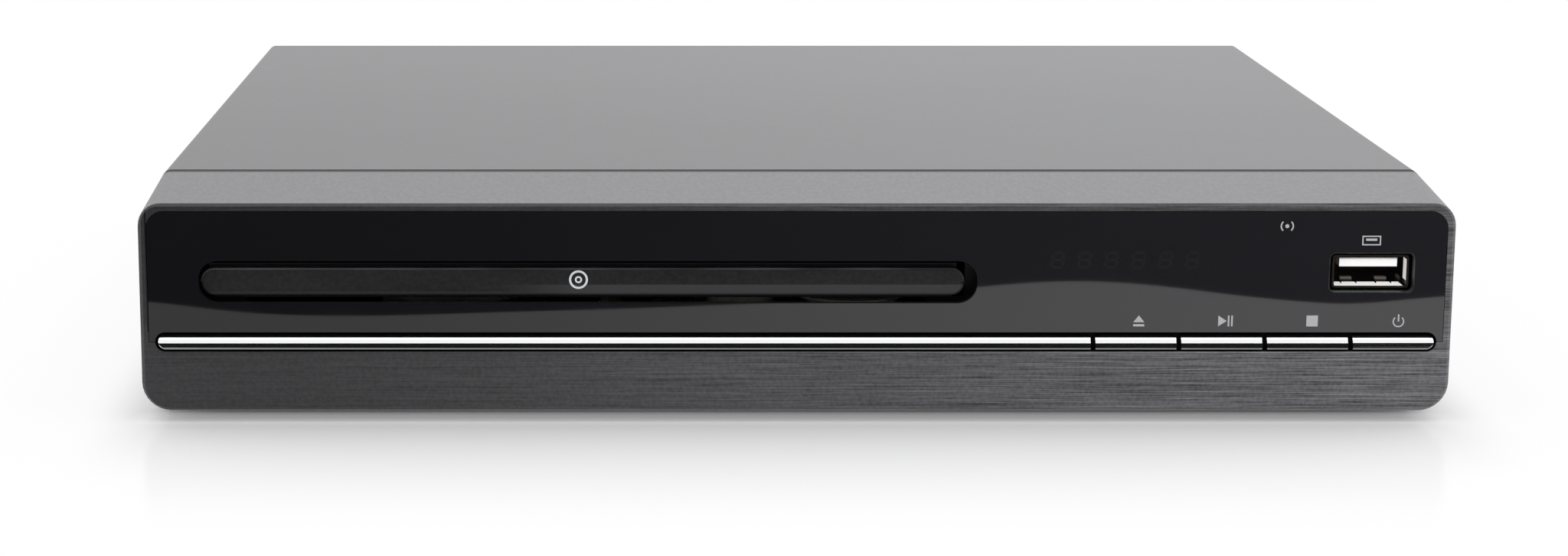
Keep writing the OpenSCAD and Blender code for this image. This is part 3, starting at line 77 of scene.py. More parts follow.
# %% [markdown]
# ## Arithmetic with fields
# A finish is arithmetic on things that vary over a surface: grain, streaks, distance to an
# edge. Blender does this arithmetic with nodes, which are hard to read as a list of links.
# The class below wraps one output socket, so that `streaks * 0.5 + 1` builds the nodes for
# us, and the recipe of each finish stays readable.

# %% Fields and nodes
def add_node(tree, kind, settings=None, inputs=None, out=0):
    """Adds one shader node: its type, its settings, its sockets' values or links, the output to keep."""
    made = tree.nodes.new("ShaderNode" + kind)
    for name, value in (settings or {}).items():
        setattr(made, name, value)
    for key, value in (inputs or {}).items():
        if isinstance(value, Field):
            tree.links.new(value.socket, made.inputs[key])
        else:
            made.inputs[key].default_value = value
    return Field(tree, made.outputs[out])


class Field:
    """A number, colour or vector that varies over a surface, with the usual arithmetic."""

    def __init__(self, tree, socket):
        self.tree, self.socket = tree, socket

    def math(self, operation, *terms):
        return add_node(self.tree, "Math", {"operation": operation}, dict(enumerate(terms)))

    def __add__(self, other):
        return self.math("ADD", self, other)

    def __sub__(self, other):
        return self.math("SUBTRACT", self, other)

    def __rsub__(self, other):
        return self.math("SUBTRACT", other, self)

    def __mul__(self, other):
        return self.math("MULTIPLY", self, other)

    def __truediv__(self, other):
        return self.math("DIVIDE", self, other)

    def __abs__(self):
        return self.math("ABSOLUTE", self)

    def sine(self):
        return self.math("SINE", self)

    def across(self, other):
        """The length of the vector (self, other): the sum of both squares to the power 0.5."""
        squares = self * self + other * other
        return squares.math("POWER", squares, 0.5)

    __radd__, __rmul__ = __add__, __mul__

    def below(self, edge):
        return self.math("LESS_THAN", self, edge)

    def above(self, edge):
        return self.math("GREATER_THAN", self, edge)

    def between(self, low, high):
        """1 where low < value < high, else 0."""
        return self.above(low) * self.below(high)

    def repeat(self, period):
        """The value folded into 0 to period."""
        return self.math("FLOORED_MODULO", self, period)

    def largest(self, other):
        return self.math("MAXIMUM", self, other)

    def ramp(self, low, high, start=0.0, end=1.0):
        """A smooth step from start at low to end at high."""
        ends = {"From Min": low, "From Max": high, "To Min": start, "To Max": end}
        settings = {"interpolation_type": "SMOOTHSTEP"}
        return add_node(self.tree, "MapRange", settings, {"Value": self, **ends})


def tone(red, green=None, blue=None):
    """A screen colour of 0 to 255 as linear light: ((c/255 + 0.055)/1.055) to the power 2.4."""
    screen = np.array([red, green if green is not None else red, blue if blue is not None else red])
    return (*((screen / 255 + 0.055) / 1.055) ** 2.4, 1.0)


print("mid grey 160 is", round(tone(160)[0], 3), "in linear light")

# %% [markdown]
# ## One finish, one object
# Every finish here is the Principled shader plus a few patterns on Object coordinates. The
# solids lie in place with their objects at the origin, so Object coordinates are the same
# frame for all of them, in metres: a noise of scale 1000 has grains about a millimetre wide.

# %% The Finish helper
class Finish:
    """One material: constants go straight on the shader's sockets, fields are linked to them."""

    def __init__(self, name, **constants):
        self.material = bpy.data.materials.new(name)
        self.material.use_nodes = True
        self.tree = self.material.node_tree
        self.shader = self.tree.nodes["Principled BSDF"]
        for socket, value in constants.items():
            self.shader.inputs[socket.replace("_", " ")].default_value = value
        self.at = add_node(self.tree, "TexCoord", out=3)
        parts = [add_node(self.tree, "SeparateXYZ", None, {0: self.at}, i) for i in range(3)]
        self.x, self.y, self.z = parts

    def stretched(self, stretch):
        """Object coordinates multiplied by a vector."""
        return add_node(self.tree, "VectorMath", {"operation": "MULTIPLY"}, {0: self.at, 1: stretch})

    def noise(self, scale, detail=2.0, stretch=(1, 1, 1), harsh=0.5):
        """Smooth random values around 0, from about -0.5 to 0.5, with grains 1/scale metres wide."""
        sockets = {"Vector": self.stretched(stretch), "Scale": scale, "Detail": detail, "Roughness": harsh}
        return add_node(self.tree, "TexNoise", None, sockets) - 0.5

    def cells(self, scale, feature="F1", stretch=(1, 1, 1), out=0, distance="EUCLIDEAN"):
        """Random cells 1/scale metres wide: out 0 is the distance to a cell's point, 1 its random colour."""
        sockets = {"Vector": self.stretched(stretch), "Scale": scale}
        settings = {"feature": feature}
        if feature == "F1":
            settings["distance"] = distance
        return add_node(self.tree, "TexVoronoi", settings, sockets, out)

    def mix(self, share, first, second):
        """A colour that goes from first to second as share goes from 0 to 1."""
        return add_node(self.tree, "Mix", {"data_type": "RGBA"}, {0: share, 6: first, 7: second}, 2)

    def scaled(self, colour, factor):
        """A colour times a number field."""
        grey = add_node(self.tree, "CombineXYZ", None, {0: factor, 1: factor, 2: factor})
        first = colour[:3] if not isinstance(colour, Field) else colour
        return add_node(self.tree, "VectorMath", {"operation": "MULTIPLY"}, {0: first, 1: grey})

    def rim(self, centre_x, centre_z, width, height, corner, low, high):
        """1 where the distance outside a rounded rectangle is between low and high, all in mm. Past
        the inner rectangle, that distance is the overhang's length minus the corner's radius."""
        over_x = (abs(self.x - centre_x * MM) - (width / 2 - corner) * MM).largest(0.0)
        over_z = (abs(self.z - centre_z * MM) - (height / 2 - corner) * MM).largest(0.0)
        return (over_x.across(over_z) - corner * MM).between(low * MM, high * MM)

    def set(self, **fields):
        for socket, field in fields.items():
            self.tree.links.new(field.socket, self.shader.inputs[socket.replace("_", " ")])
        return self

    def bump(self, height, depth, strength=1.0):
        """Height is a field around 0 to 1, and depth is what 1 stands for, in metres."""
        made = add_node(self.tree, "Bump", None, {"Strength": strength, "Distance": depth, "Height": height})
        return self.set(Normal=made)


def dress(finish, *names):
    """Gives a finish to CAD nodes by name."""
    for name in names:
        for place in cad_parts[name].material_slots:
            place.material = finish.material
    print(finish.material.name, "on", ", ".join(names))


# %% [markdown]
# ## The steel cover and the lip of the front
# The cover is sheet steel with a sprayed grey paint that dries to a fine grain. The front is
# moulded plastic, sprayed to match on its upper lip. Grain is a noise with features under a
# millimetre, and longer to the back, once in the colour and once in the bump. Very faint
# clouds over it keep a large flat sheet from looking like a plain fill.
# Its grey is painted lighter to the right and back as light, and near black at the seam as shade.

# %% Painted steel
COVER_GREY = tone(125, 125, 127)
SEAM_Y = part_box("top_cover")[0].y


def painted_grey(name, colour, rough):
    """Colour times 1 + fine grain + cloud + painted light, painted shade at the seam; bump from the grain."""
    paint = Finish(name, Metallic=0.0, Specular_IOR_Level=0.3)
    grain = paint.noise(1500, 2, stretch=(1, 0.4, 1))
    cloud = paint.noise(14, 3)
    # Lighter to the right and to the back: painted light.
    painted_light_to_right = paint.x.ramp(-112 * MM, 112 * MM, -0.5, 0.5)
    painted_light_to_back = paint.y.ramp(-85 * MM, 100 * MM, -0.5, 0.5)
    brushed = paint.noise(60, 2, stretch=(1, 18, 1))
    shade = 0.99 + grain * 0.4 + cloud * 0.06 + brushed * 0.03 + painted_light_to_right * 0.16 + painted_light_to_back * 0.13
    # The cover's front edge at the seam goes near black: painted shade in the gap.
    shade = shade * paint.y.ramp(SEAM_Y, SEAM_Y + 0.3 * MM, 0.02, 1.0)
    paint.set(Base_Color=paint.scaled(colour, shade), Roughness=grain * 0.12 + rough)
    return paint.bump(grain, 0.00003, 0.5)


cover_paint = painted_grey("cover_paint", COVER_GREY, 0.46)
dress(cover_paint, "top_cover")

# %% [markdown]
# ## The front moulding
# The same grey plastic is light where it lies flat on top. The upright face is painted dark as
# shade and lighter to the right as painted light, and it carries a hairline finish: fine
# horizontal scratches of different lengths. A smooth step on Y tells the face from the lip, and
# the face's finish runs a little way round both sides. Each scratch is noise that is stretched
# along X, and it shows more to the right, where the painted light makes the face lighter.

# %% Front moulding
FRONT_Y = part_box("front_panel")[0].y
LIP_GREY = tone(127, 127, 129)
# The upright face is painted dark as shade, going lighter to the right as painted light.
FACE_SHADED, FACE_LIT = tone(54, 54, 56), tone(99, 99, 101)
# Black for the openings and the joint: painted shade.
PAINTED_SHADE_BLACK = tone(9)
INSERT_EDGE_X, GROOVE_TOP_Z = -111.0 * MM, 15.9 * MM

moulding = Finish("front_moulding", Specular_IOR_Level=0.35)
grain = moulding.noise(1500, 2, stretch=(1, 0.4, 1))
painted_light_to_right = moulding.x.ramp(-112 * MM, 112 * MM)
on_face = moulding.y.ramp(FRONT_Y + 0.42 * MM, FRONT_Y + 0.5 * MM, 1.0, 0.0)
beside = abs(moulding.x).ramp(111.2 * MM, 111.6 * MM) * moulding.z.ramp(34.2 * MM, 35.2 * MM, 1.0, 0.0)
on_face = on_face.largest(beside * moulding.y.ramp(FRONT_Y + 1.6 * MM, FRONT_Y + 2.2 * MM, 1.0, 0.0))
# The face goes darker above the bar; the top band's darkening and the lower face's lightening grow to the
# right with the painted light.
darker_above_bar = moulding.z.ramp(15 * MM, 19 * MM, 0.0, 0.25)
darker_top_band = moulding.z.ramp(35.5 * MM, 37 * MM, -0.1, 0.2) * painted_light_to_right
upper = darker_above_bar + darker_top_band
# A painted highlight along the groove's lower lip, stronger to the right.
groove_lip_highlight = moulding.z.between(12.27 * MM, 12.57 * MM) * painted_light_to_right * 0.7

long_lines = moulding.noise(1.0, 5, stretch=(24, 1, 4400), harsh=0.8)
short_lines = moulding.noise(1.0, 2, stretch=(110, 1, 6400))
hairlines = (long_lines * 3.8 + short_lines * 1.8) * (painted_light_to_right * 0.9 + 0.35)
shade = (1 + hairlines + grain * 0.9 + groove_lip_highlight) * (1 - upper)
face_tone = moulding.scaled(moulding.mix(painted_light_to_right, FACE_SHADED, FACE_LIT), shade)
# A black line along the insert's left edge above the groove: painted shade in the joint.
joint = moulding.x.between(INSERT_EDGE_X - 0.3 * MM, INSERT_EDGE_X + 0.01 * MM)
joint = joint * moulding.z.above(GROOVE_TOP_Z)
face_tone = moulding.mix(joint, face_tone, PAINTED_SHADE_BLACK)

# The lip goes near black at the seam, painted shade in the gap, and lighter along its front edge, a painted
# highlight.
seam_painted_shade = moulding.y.ramp(SEAM_Y - 2.1 * MM, SEAM_Y - 1.7 * MM, 1.0, 0.02)
lip_edge_highlight = moulding.y.ramp(FRONT_Y + 0.5 * MM, FRONT_Y + 1.0 * MM, 0.25, 0.0)
lip_tone = moulding.scaled(LIP_GREY, (0.955 + grain * 0.4 + painted_light_to_right * 0.12 + lip_edge_highlight) * seam_painted_shade)
colour = moulding.mix(on_face, lip_tone, face_tone)
# Behind the face, in the openings, the moulding is painted black: painted shade.
behind_face = moulding.y.between(FRONT_Y + 0.3 * MM, FRONT_Y + 3.2 * MM)
in_openings = abs(moulding.x).below(110.9 * MM) * moulding.z.between(11.5 * MM, 33.2 * MM)
in_openings = in_openings * behind_face
moulding.set(Base_Color=moulding.mix(in_openings, colour, PAINTED_SHADE_BLACK))
moulding.set(Roughness=0.46 - on_face * 0.1 + hairlines * on_face * 0.1 + in_openings * 0.3)
moulding.bump(grain * (1 - on_face) + hairlines * on_face, 0.00004, 0.5)
dress(moulding, "front_panel")

# %% [markdown]
# ## The gloss insert and the tray's door
# The insert is polished black acrylic and has almost no colour of its own: what shows is the
# mirror image of the table in front of the player. Its black is painted lighter to the right as
# light, the walls of its cut-outs are painted darker as shade, and the rim of the socket's
# cut-out carries a painted highlight. A trace of noise in its roughness stands for wiping marks.
# The door is a rougher satin black, with a painted highlight along its upper edge and its lower
# edge, and a painted reflection on the right part of its lower band.
# Behind the window on the right sits an unlit display, whose seven-segment figures can just
# be made out, so they are worked out here as a pattern: X is folded into one figure's width,
# and seven small rectangles are lit by comparing coordinates.

# %% Gloss black
# The black goes lighter to the right: painted light.
GLOSS_SHADED_LEFT, GLOSS_LIT_RIGHT = tone(21, 21, 23), tone(34, 33, 37)
gloss = Finish("gloss_black", Specular_IOR_Level=0.42)
gloss_lit_right = gloss.x.ramp(-112 * MM, 112 * MM)
wiping = gloss.noise(90, 3, stretch=(1, 1, 2.5))
dust = gloss.noise(2400, 1).ramp(0.27, 0.33)

DISPLAY_X, DISPLAY_Z = 43.3 * MM, 27.0 * MM
FIGURES = 6
FIGURE_PITCH, FIGURE_W, FIGURE_H, STROKE = 4.6 * MM, 2.3 * MM, 3.0 * MM, 0.42 * MM
v = gloss.z - DISPLAY_Z
along = gloss.x - DISPLAY_X - v * 0.12
inside = along.between(0, FIGURES * FIGURE_PITCH) * v.between(0, FIGURE_H)
u = along.repeat(FIGURE_PITCH)
middle = FIGURE_H / 2
flat_part = u.between(STROKE * 0.9, FIGURE_W - STROKE * 0.9)
ghost = u.between(0, STROKE).largest(u.between(FIGURE_W - STROKE, FIGURE_W))
lower_half = v.between(STROKE, middle - STROKE * 0.4)
upper_half = v.between(middle + STROKE * 0.4, FIGURE_H - STROKE)
ghost = ghost * lower_half.largest(upper_half)
for level in (0, middle - STROKE / 2, FIGURE_H - STROKE):
    ghost = ghost.largest(v.between(level, level + STROKE) * flat_part)
ghost = ghost * inside

SOCKET_CUT = (98.4, 26.3, 14.4, 6.7, 1.0)  # centre X and Z, width, height and corner, in mm
# A painted highlight on the rim of the socket's cut-out, broken up by noise.
rim_highlight_breakup = gloss.noise(900, 2).ramp(-0.15, 0.15, 0.3, 1.0)
socket_rim_highlight = gloss.rim(*SOCKET_CUT, -0.05, 0.14) * rim_highlight_breakup
body = gloss.scaled(gloss.mix(gloss_lit_right, GLOSS_SHADED_LEFT, GLOSS_LIT_RIGHT), 1 + wiping * 0.15)
body = gloss.mix(ghost * 0.14 + dust * 0.3, body, tone(60, 59, 62))
# The walls of the cut-outs are painted near black: painted shade.
cut = gloss.y.above(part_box("gloss_fascia")[0].y + 0.12 * MM)
body = gloss.mix(cut, body, tone(8))
gloss.set(Base_Color=gloss.mix(socket_rim_highlight * 0.3, body, tone(110)))
gloss.set(Roughness=wiping * 0.03 + ghost * 0.03 + 0.03 + cut * 0.6)
gloss.set(Coat_Weight=gloss_lit_right * (1 - cut) * 0.85)
dress(gloss, "gloss_fascia")

door_low, door_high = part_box("tray_door")
satin = Finish("satin_door", Specular_IOR_Level=0.25)
door_grain = satin.noise(1500, 2)
smudge = satin.noise(30, 3, stretch=(1, 1, 4))
door_at = [(low_side + high_side) / 2 / MM for low_side, high_side in zip(door_low, door_high)]
door_w, door_h = (door_high.x - door_low.x) / MM, (door_high.z - door_low.z) / MM
# A painted highlight along the door's upper edge, broken up by noise.
lit = satin.rim(door_at[0], door_at[2], door_w, door_h, door_h / 2 - 0.05, -0.28, 0.3)
lit_line_breakup = satin.noise(60, 2, stretch=(1, 1, 0)).ramp(-0.2, 0.2, 0.3, 1.0)
lit = lit * satin.z.above(door_at[2] * MM) * lit_line_breakup
# A painted reflection on the right part of the lower band, and a painted highlight along the lower edge.
painted_reflection_low = satin.z.ramp(door_low.z + 1.75 * MM, door_low.z + 2.0 * MM, 1.0, 0.0)
painted_reflection_low = painted_reflection_low * satin.x.ramp(-54 * MM, -34 * MM)
low_edge_highlight = satin.z.ramp(door_low.z + 0.3 * MM, door_low.z + 0.8 * MM, 0.6, 0.0)
panel = satin.scaled(tone(33, 33, 35), 1 + door_grain * 1.2 + smudge * 0.8)
panel = satin.mix(painted_reflection_low.largest(low_edge_highlight), panel, tone(61, 61, 63))
satin.set(Base_Color=satin.mix(lit, panel, tone(98)))
satin.set(Roughness=door_grain * 0.1 + 0.36)
satin.bump(door_grain, 0.00001, 0.4)
dress(satin, "tray_door")

# %% [markdown]
# ## The bright strip and its keys
# The strip and the four keys are one long rod in look: plated plastic, half round, so that it
# shows the bright sky above, a dark line where the table ends and the shaded table below.
# Plating is a metal with a low roughness and very long, very faint polishing lines. Its colour
# is painted darker along the lower edge, as shade.

# %% Plating
plating = Finish("bright_plating", Metallic=1.0)
polish = plating.noise(1.0, 3, stretch=(30, 2500, 2500))
bar_low, bar_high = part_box("trim_bar")
bar_h = bar_high.z - bar_low.z
# Darker along the lower edge: painted shade.
painted_shade_low_edge = plating.z.ramp(bar_low.z + 0.14 * bar_h, bar_low.z + 0.3 * bar_h, 0.3, 1.0)
plating.set(Base_Color=plating.scaled(tone(244, 245, 246), (1 + polish * 0.04) * painted_shade_low_edge))
plating.set(Roughness=polish * 0.05 + 0.09)
dress(plating, "trim_bar", "eject_button", "play_button", "stop_button", "power_button")

# %% [markdown]
# ## Bare sheet steel
# The pan, the rear panel and the deck are pressed from zinc-coated sheet. Zinc freezes into
# flat crystals of about a centimetre or less, each with its own grey, so cells with a random
# value each give its spangle, and a fine noise along the rolling direction breaks them up.

# %% Zinc-coated steel
def zinc(name, spangle, colour):
    """Metal grey times 1 + a random value per crystal + rolling lines."""
    sheet = Finish(name, Metallic=1.0)
    crystal = add_node(sheet.tree, "SeparateColor", None, {0: sheet.cells(spangle, out=1)}) - 0.5
    rolling = sheet.noise(1.0, 3, stretch=(2200, 60, 60))
    stain = sheet.noise(35, 4)
    sheet.set(Base_Color=sheet.scaled(colour, 1 + crystal * 0.16 + rolling * 0.1 + stain * 0.12))
    sheet.set(Roughness=crystal * 0.1 + rolling * 0.12 + 0.42)
    return sheet.bump(rolling + crystal * 0.5, 0.00001, 0.4)


dress(zinc("zinc_sheet", 210, tone(176, 179, 182)), "base_pan", "rear_panel")
dress(zinc("deck_steel", 420, tone(186, 188, 190)), "traverse_frame")

# %% [markdown]
# ## Motors and ground metal
# The motor cans are drawn steel with a fine turned surface. Turning lines run round the axis,
# and a cylinder's rings along Z or X are just a sine of that coordinate with some noise.

# %% Turned and drawn metal
def turned(name, colour, rough, pitch, axis="z"):
    """Metal times 1 + 0.04 sin(2 pi axis / pitch) + noise."""
    metal = Finish(name, Metallic=1.0)
    ring = (getattr(metal, axis) * (2 * math.pi / pitch)).sine()
    smear = metal.noise(400, 3)
    metal.set(Base_Color=metal.scaled(colour, 1 + ring * 0.04 + smear * 0.16))
    metal.set(Roughness=smear * 0.15 + ring * 0.03 + rough)
    return metal.bump(ring, 0.000004, 0.5)


motor_can = turned("motor_can", tone(172, 172, 170), 0.34, 0.35 * MM)
dress(motor_can, "loading_motor", "sled_motor", "spindle_motor")
dress(turned("polished_rod", tone(205, 206, 208), 0.16, 0.2 * MM, "y"), "guide_rods", "lead_screw")
dress(turned("screw_zinc", tone(188, 190, 190), 0.3, 0.15 * MM), "loader_screws", "board_screws")
dress(turned("black_screw", tone(44), 0.4, 0.15 * MM), "case_screws")
dress(turned("brass_post", tone(196, 164, 96), 0.3, 0.25 * MM), "board_standoffs")
dress(turned("magnet_ferrite", tone(70, 70, 74), 0.5, 0.5 * MM), "clamp_magnet")

# %% [markdown]
# ## Moulded plastics
# Black ABS has a spark-eroded texture: a sand-like grain that breaks the gloss. Natural acetal
# is waxy and a little translucent, with a faint flow cloud. Both are one recipe with other
# numbers: a colour, a grain width, a grain depth and a roughness.

# %% Moulded plastics
def moulded(name, colour, rough, grain_scale=1900, depth=0.00003, **constants):
    """Colour times 1 + grain + flow cloud, roughness and bump from the grain."""
    plastic = Finish(name, **constants)
    sand = plastic.noise(grain_scale, 3, harsh=0.65)
    flow = plastic.noise(45, 2)
    plastic.set(Base_Color=plastic.scaled(colour, 1 + sand * 0.25 + flow * 0.15))
    plastic.set(Roughness=sand * 0.2 + flow * 0.06 + rough)
    return plastic.bump(sand, depth, 0.6)


black_abs = moulded("black_abs", tone(27, 27, 29), 0.46, Specular_IOR_Level=0.35)
dress(black_abs, "disc_tray", "loader_frame", "clamp_bridge", "disc_clamper", "turntable", "optical_pickup")
dress(moulded("socket_black", tone(34, 34, 35), 0.38, 1500), "scart_socket", "mains_inlet", "tact_switches")
acetal = moulded("natural_acetal", tone(222, 218, 204), 0.36, 900, 0.00001, Subsurface_Weight=0.15)
dress(acetal, "pulley_gear", "drive_gear", "cam_slider", "motor_pulley")
dress(moulded("orange_plastic", tone(214, 118, 40), 0.35, 1200), "coax_socket")
tongue = moulded("tongue_white", tone(240, 240, 238), 0.32, 1600, 0.00001, Emission_Strength=1.0)
tongue_low, tongue_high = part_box("usb_tongue")
# The tongue's front glows with emission: painted light.
painted_light_front = tongue.y.below(tongue_low.y + 0.1 * MM) * tongue.z.below(tongue_high.z - 0.25 * MM)
tongue.set(Emission_Color=tongue.mix(painted_light_front, tone(0), tone(170)))
dress(tongue, "usb_tongue")
dress(moulded("chip_epoxy", tone(40, 40, 42), 0.6, 3200), "board_chips", "ir_receiver")
dress(moulded("display_smoke", tone(60, 30, 30), 0.25, 900, 0.00001), "display_module")
dress(moulded("black_rubber", tone(36, 36, 36), 0.8, 1400, 0.00008), "feet", "drive_belt", "hinge_bushes")

# %% [markdown]
# ## Circuit boards
# A board is glass cloth under a green lacquer, with copper tracks that show as lighter lines
# through it and small tinned holes. Square cells, measured with the Manhattan distance, have
# edges at right angles and at 45 degrees, as tracks do, and round cells give the holes.

# %% Boards
def board(name, lacquer, track, tin):
    """Lacquer colour, lighter near the edges of square cells, with bright round holes."""
    made = Finish(name)
    cloth = made.noise(1500, 2)
    edge_one = made.cells(170, stretch=(1, 1, 1), distance="MANHATTAN")
    edge_two = made.cells(420, stretch=(1, 1, 1), distance="CHEBYCHEV")
    lines = edge_one.repeat(0.12).below(0.05).largest(edge_two.repeat(0.3).below(0.06) * 0.6)
    holes = made.cells(330).below(0.13)
    colour = made.mix(lines * 0.8, made.scaled(lacquer, 1 + cloth * 0.3), track)
    made.set(Base_Color=made.mix(holes, colour, tin))
    made.set(Roughness=cloth * 0.15 + 0.34 - holes * 0.1, Metallic=holes * 0.9)
    return made.bump(lines * 0.6 + holes, 0.00003, 0.6)


TIN = tone(205, 205, 200)
green_board = board("board_green", tone(22, 78, 42), tone(52, 122, 66), TIN)
dress(green_board, "control_board", "main_board")
dress(board("board_tan", tone(176, 136, 82), tone(196, 158, 100), TIN), "power_board")

# %% [markdown]
# ## Parts on the boards
# A heat sink is extruded aluminium with lines along the extrusion. A transformer is wrapped in
# glossy yellow tape, whose overlaps show as thin darker lines. Electrolytic cans wear a dark
# blue sleeve with a pale stripe, set simply by X folded into 10 mm.

# %% Aluminium, tape and sleeves
fins = Finish("extruded_aluminium", Metallic=1.0)
drawn = fins.noise(1.0, 3, stretch=(60, 2600, 60))
fins.set(Base_Color=fins.scaled(tone(196, 198, 201), 1 + drawn * 0.18), Roughness=drawn * 0.2 + 0.36)
dress(fins, "heat_sink")

tape = Finish("winding_tape", Coat_Weight=0.3)
lap = tape.z.repeat(2.4 * MM).below(0.12 * MM)
crinkle = tape.noise(700, 3)
tape.set(Base_Color=tape.mix(lap, tape.scaled(tone(206, 172, 62), 1 + crinkle * 0.2), tone(120, 92, 30)))
tape.set(Roughness=crinkle * 0.2 + 0.36)
tape.bump(crinkle - lap, 0.00003, 0.5)
dress(tape, "transformer")

sleeve = Finish("capacitor_sleeve")
print_noise = sleeve.noise(1200, 2)
STRIPE_PITCH, STRIPE_START, STRIPE_END = 10 * MM, 1.2 * MM, 3.2 * MM
stripe = sleeve.x.repeat(STRIPE_PITCH).between(STRIPE_START, STRIPE_END)
dark_blue = sleeve.scaled(tone(30, 44, 84), 1 + print_noise * 0.3)
sleeve.set(Base_Color=sleeve.mix(stripe * 0.55, dark_blue, tone(150, 160, 176)))
sleeve.set(Roughness=print_noise * 0.15 + 0.3)
dress(sleeve, "capacitors")

# %% [markdown]
# ## Nickel and glass
# The USB and HDMI shells are nickel-plated: a warm, slightly yellow metal, brighter than zinc,
# with faint drawing lines from the press. A soft light hardly reaches into so small an
# opening, so the USB shell's inside is painted brown as shade, its spring tabs deeper in are
# painted a paler grey as light, and the stripes of its floor and wall where a lamp would fall
# are painted light: a pale colour with some emission. The white tongue's front has painted
# light with some emission too.
# The pickup's lens is clear glass.

# %% Nickel and lens
def nickel_plate(name):
    """Warm metal with drawing lines."""
    nickel = Finish(name, Metallic=1.0)
    press = nickel.noise(1.0, 3, stretch=(900, 40, 900))
    nickel.set(Base_Color=nickel.scaled(tone(222, 220, 215), 1 + press * 0.12), Roughness=press * 0.14 + 0.2)
    return nickel


dress(nickel_plate("nickel_plate"), "hdmi_socket")

usb_low, usb_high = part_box("usb_shell")
shell = Finish("usb_nickel", Emission_Strength=1.0)
press = shell.noise(1.0, 3, stretch=(900, 40, 900))
depth = shell.y - usb_low.y
in_floor = shell.z.below(usb_low.z + 0.5 * MM)
in_floor = in_floor * shell.x.between(usb_low.x + 0.4 * MM, usb_high.x - 0.9 * MM)
in_wall = shell.x.above(usb_high.x - 0.42 * MM)
in_wall = in_wall * shell.z.between(usb_low.z + 1.2 * MM, usb_high.z - 0.8 * MM)
# Painted light: the floor and wall stripes are pale and emit, the tabs are a paler grey; the rest of the
# inside is painted brown as shade.
lit_floor = depth.between(0.12 * MM, 3.6 * MM) * in_floor
lit_wall = depth.between(0.3 * MM, 2.7 * MM) * in_wall
tabs = depth.between(4.8 * MM, 8.0 * MM) * shell.z.between(usb_low.z + 0.4 * MM, usb_low.z + 1.1 * MM)
painted_light_stripes = lit_floor.largest(lit_wall * 0.75)
shaded_brown = shell.scaled(tone(62, 54, 49), 1 + press * 1.2)
colour = shell.mix(tabs, shaded_brown, tone(150, 140, 134))
shell.set(Base_Color=shell.mix(painted_light_stripes, colour, tone(235, 234, 231)), Metallic=(1 - painted_light_stripes) * (1 - tabs))
shell.set(Emission_Color=shell.mix(painted_light_stripes, tone(0), tone(196, 196, 194)), Roughness=press * 0.14 + 0.36)
dress(shell, "usb_shell")

lens = Finish("lens_glass", Transmission_Weight=1.0, IOR=1.49)
lens_dust = lens.noise(3000, 2)
lens.set(Base_Color=lens.scaled(tone(214, 218, 240), 1 + lens_dust * 0.05), Roughness=lens_dust * 0.05 + 0.03)
dress(lens, "pickup_lens")

# %% [markdown]
# ## The row of jacks at the back
# Each jack is a nickel barrel on a black block. A ring of coloured plastic round the centre
# hole tells the signals apart. The barrels are one solid with the block, so the colour is
# chosen by place: what stands out of the panel is nickel, apart from the core of each barrel,
# within RING_R of its axis, which takes the colour of its signal.

# %% Jack row
jacks = Finish("jack_row")
JACK_X = [-46 * MM, -32 * MM, -18 * MM]
JACK_Z = 19 * MM
BARREL_Y, RING_R = 96.6 * MM, 3.15 * MM
RING_COLOURS = [tone(238, 238, 236), tone(196, 36, 34), tone(232, 196, 44)]
sand = jacks.noise(1500, 3)
outside = jacks.y.above(BARREL_Y)
black_block = jacks.scaled(tone(34), 1 + sand * 0.25)
nickel_barrel = jacks.scaled(tone(206, 203, 196), 1 + sand * 0.1)
colour = jacks.mix(outside, black_block, nickel_barrel)
rings = outside * 0
for jack_x, ring_colour in zip(JACK_X, RING_COLOURS):
    ring = (jacks.x - jack_x).across(jacks.z - JACK_Z).below(RING_R) * outside
    colour = jacks.mix(ring, colour, ring_colour)
    rings = rings.largest(ring)
jacks.set(Base_Color=colour, Metallic=outside * (1 - rings), Roughness=sand * 0.15 + 0.42 - outside * 0.18)
dress(jacks, "jack_block")

# %% [markdown]
# ## Printed signs
# The signs over the keys are pale ink on the gloss insert. Each stroke is a flat patch: a
# sheet f(u, v) between four corners, or a sector of a ring, with u along it and v across.
# A solid skin of three hundredths of a millimetre keeps it a real body.

# %% Patches and rings
INK_THICK = 0.03 * MM


def sheet_mesh(name, sheets):
    """Joins grids of points, each (rows, columns, 3), into one mesh of quads."""
    points, quads, start = [], [], 0
    for grid in sheets:
        rows, columns = grid.shape[:2]
        index = start + np.arange(rows * columns).reshape(rows, columns)
        corners = [index[:-1, :-1], index[:-1, 1:], index[1:, 1:], index[1:, :-1]]
        quads.append(np.stack(corners, -1).reshape(-1, 4))
        points.append(grid.reshape(-1, 3))
        start += rows * columns
    mesh = bpy.data.meshes.new(name)
    mesh.from_pydata(np.concatenate(points).tolist(), [], np.concatenate(quads).tolist())
    mesh.validate()
    thing = bpy.data.objects.new(name, mesh)
    bpy.context.scene.collection.objects.link(thing)
    return thing


def patch(corners, plane_y):
    """(1-u)(1-v) a + u (1-v) b + u v c + (1-u) v d, for corners a, b, c, d in mm as (x, z)."""
    a, b, c, d = [np.array([x * MM, plane_y, z * MM]) for x, z in corners]
    u, v = np.meshgrid(np.linspace(0, 1, 2), np.linspace(0, 1, 2))
    u, v = u[..., None], v[..., None]
    return (1 - u) * (1 - v) * a + u * (1 - v) * b + u * v * c + (1 - u) * v * d


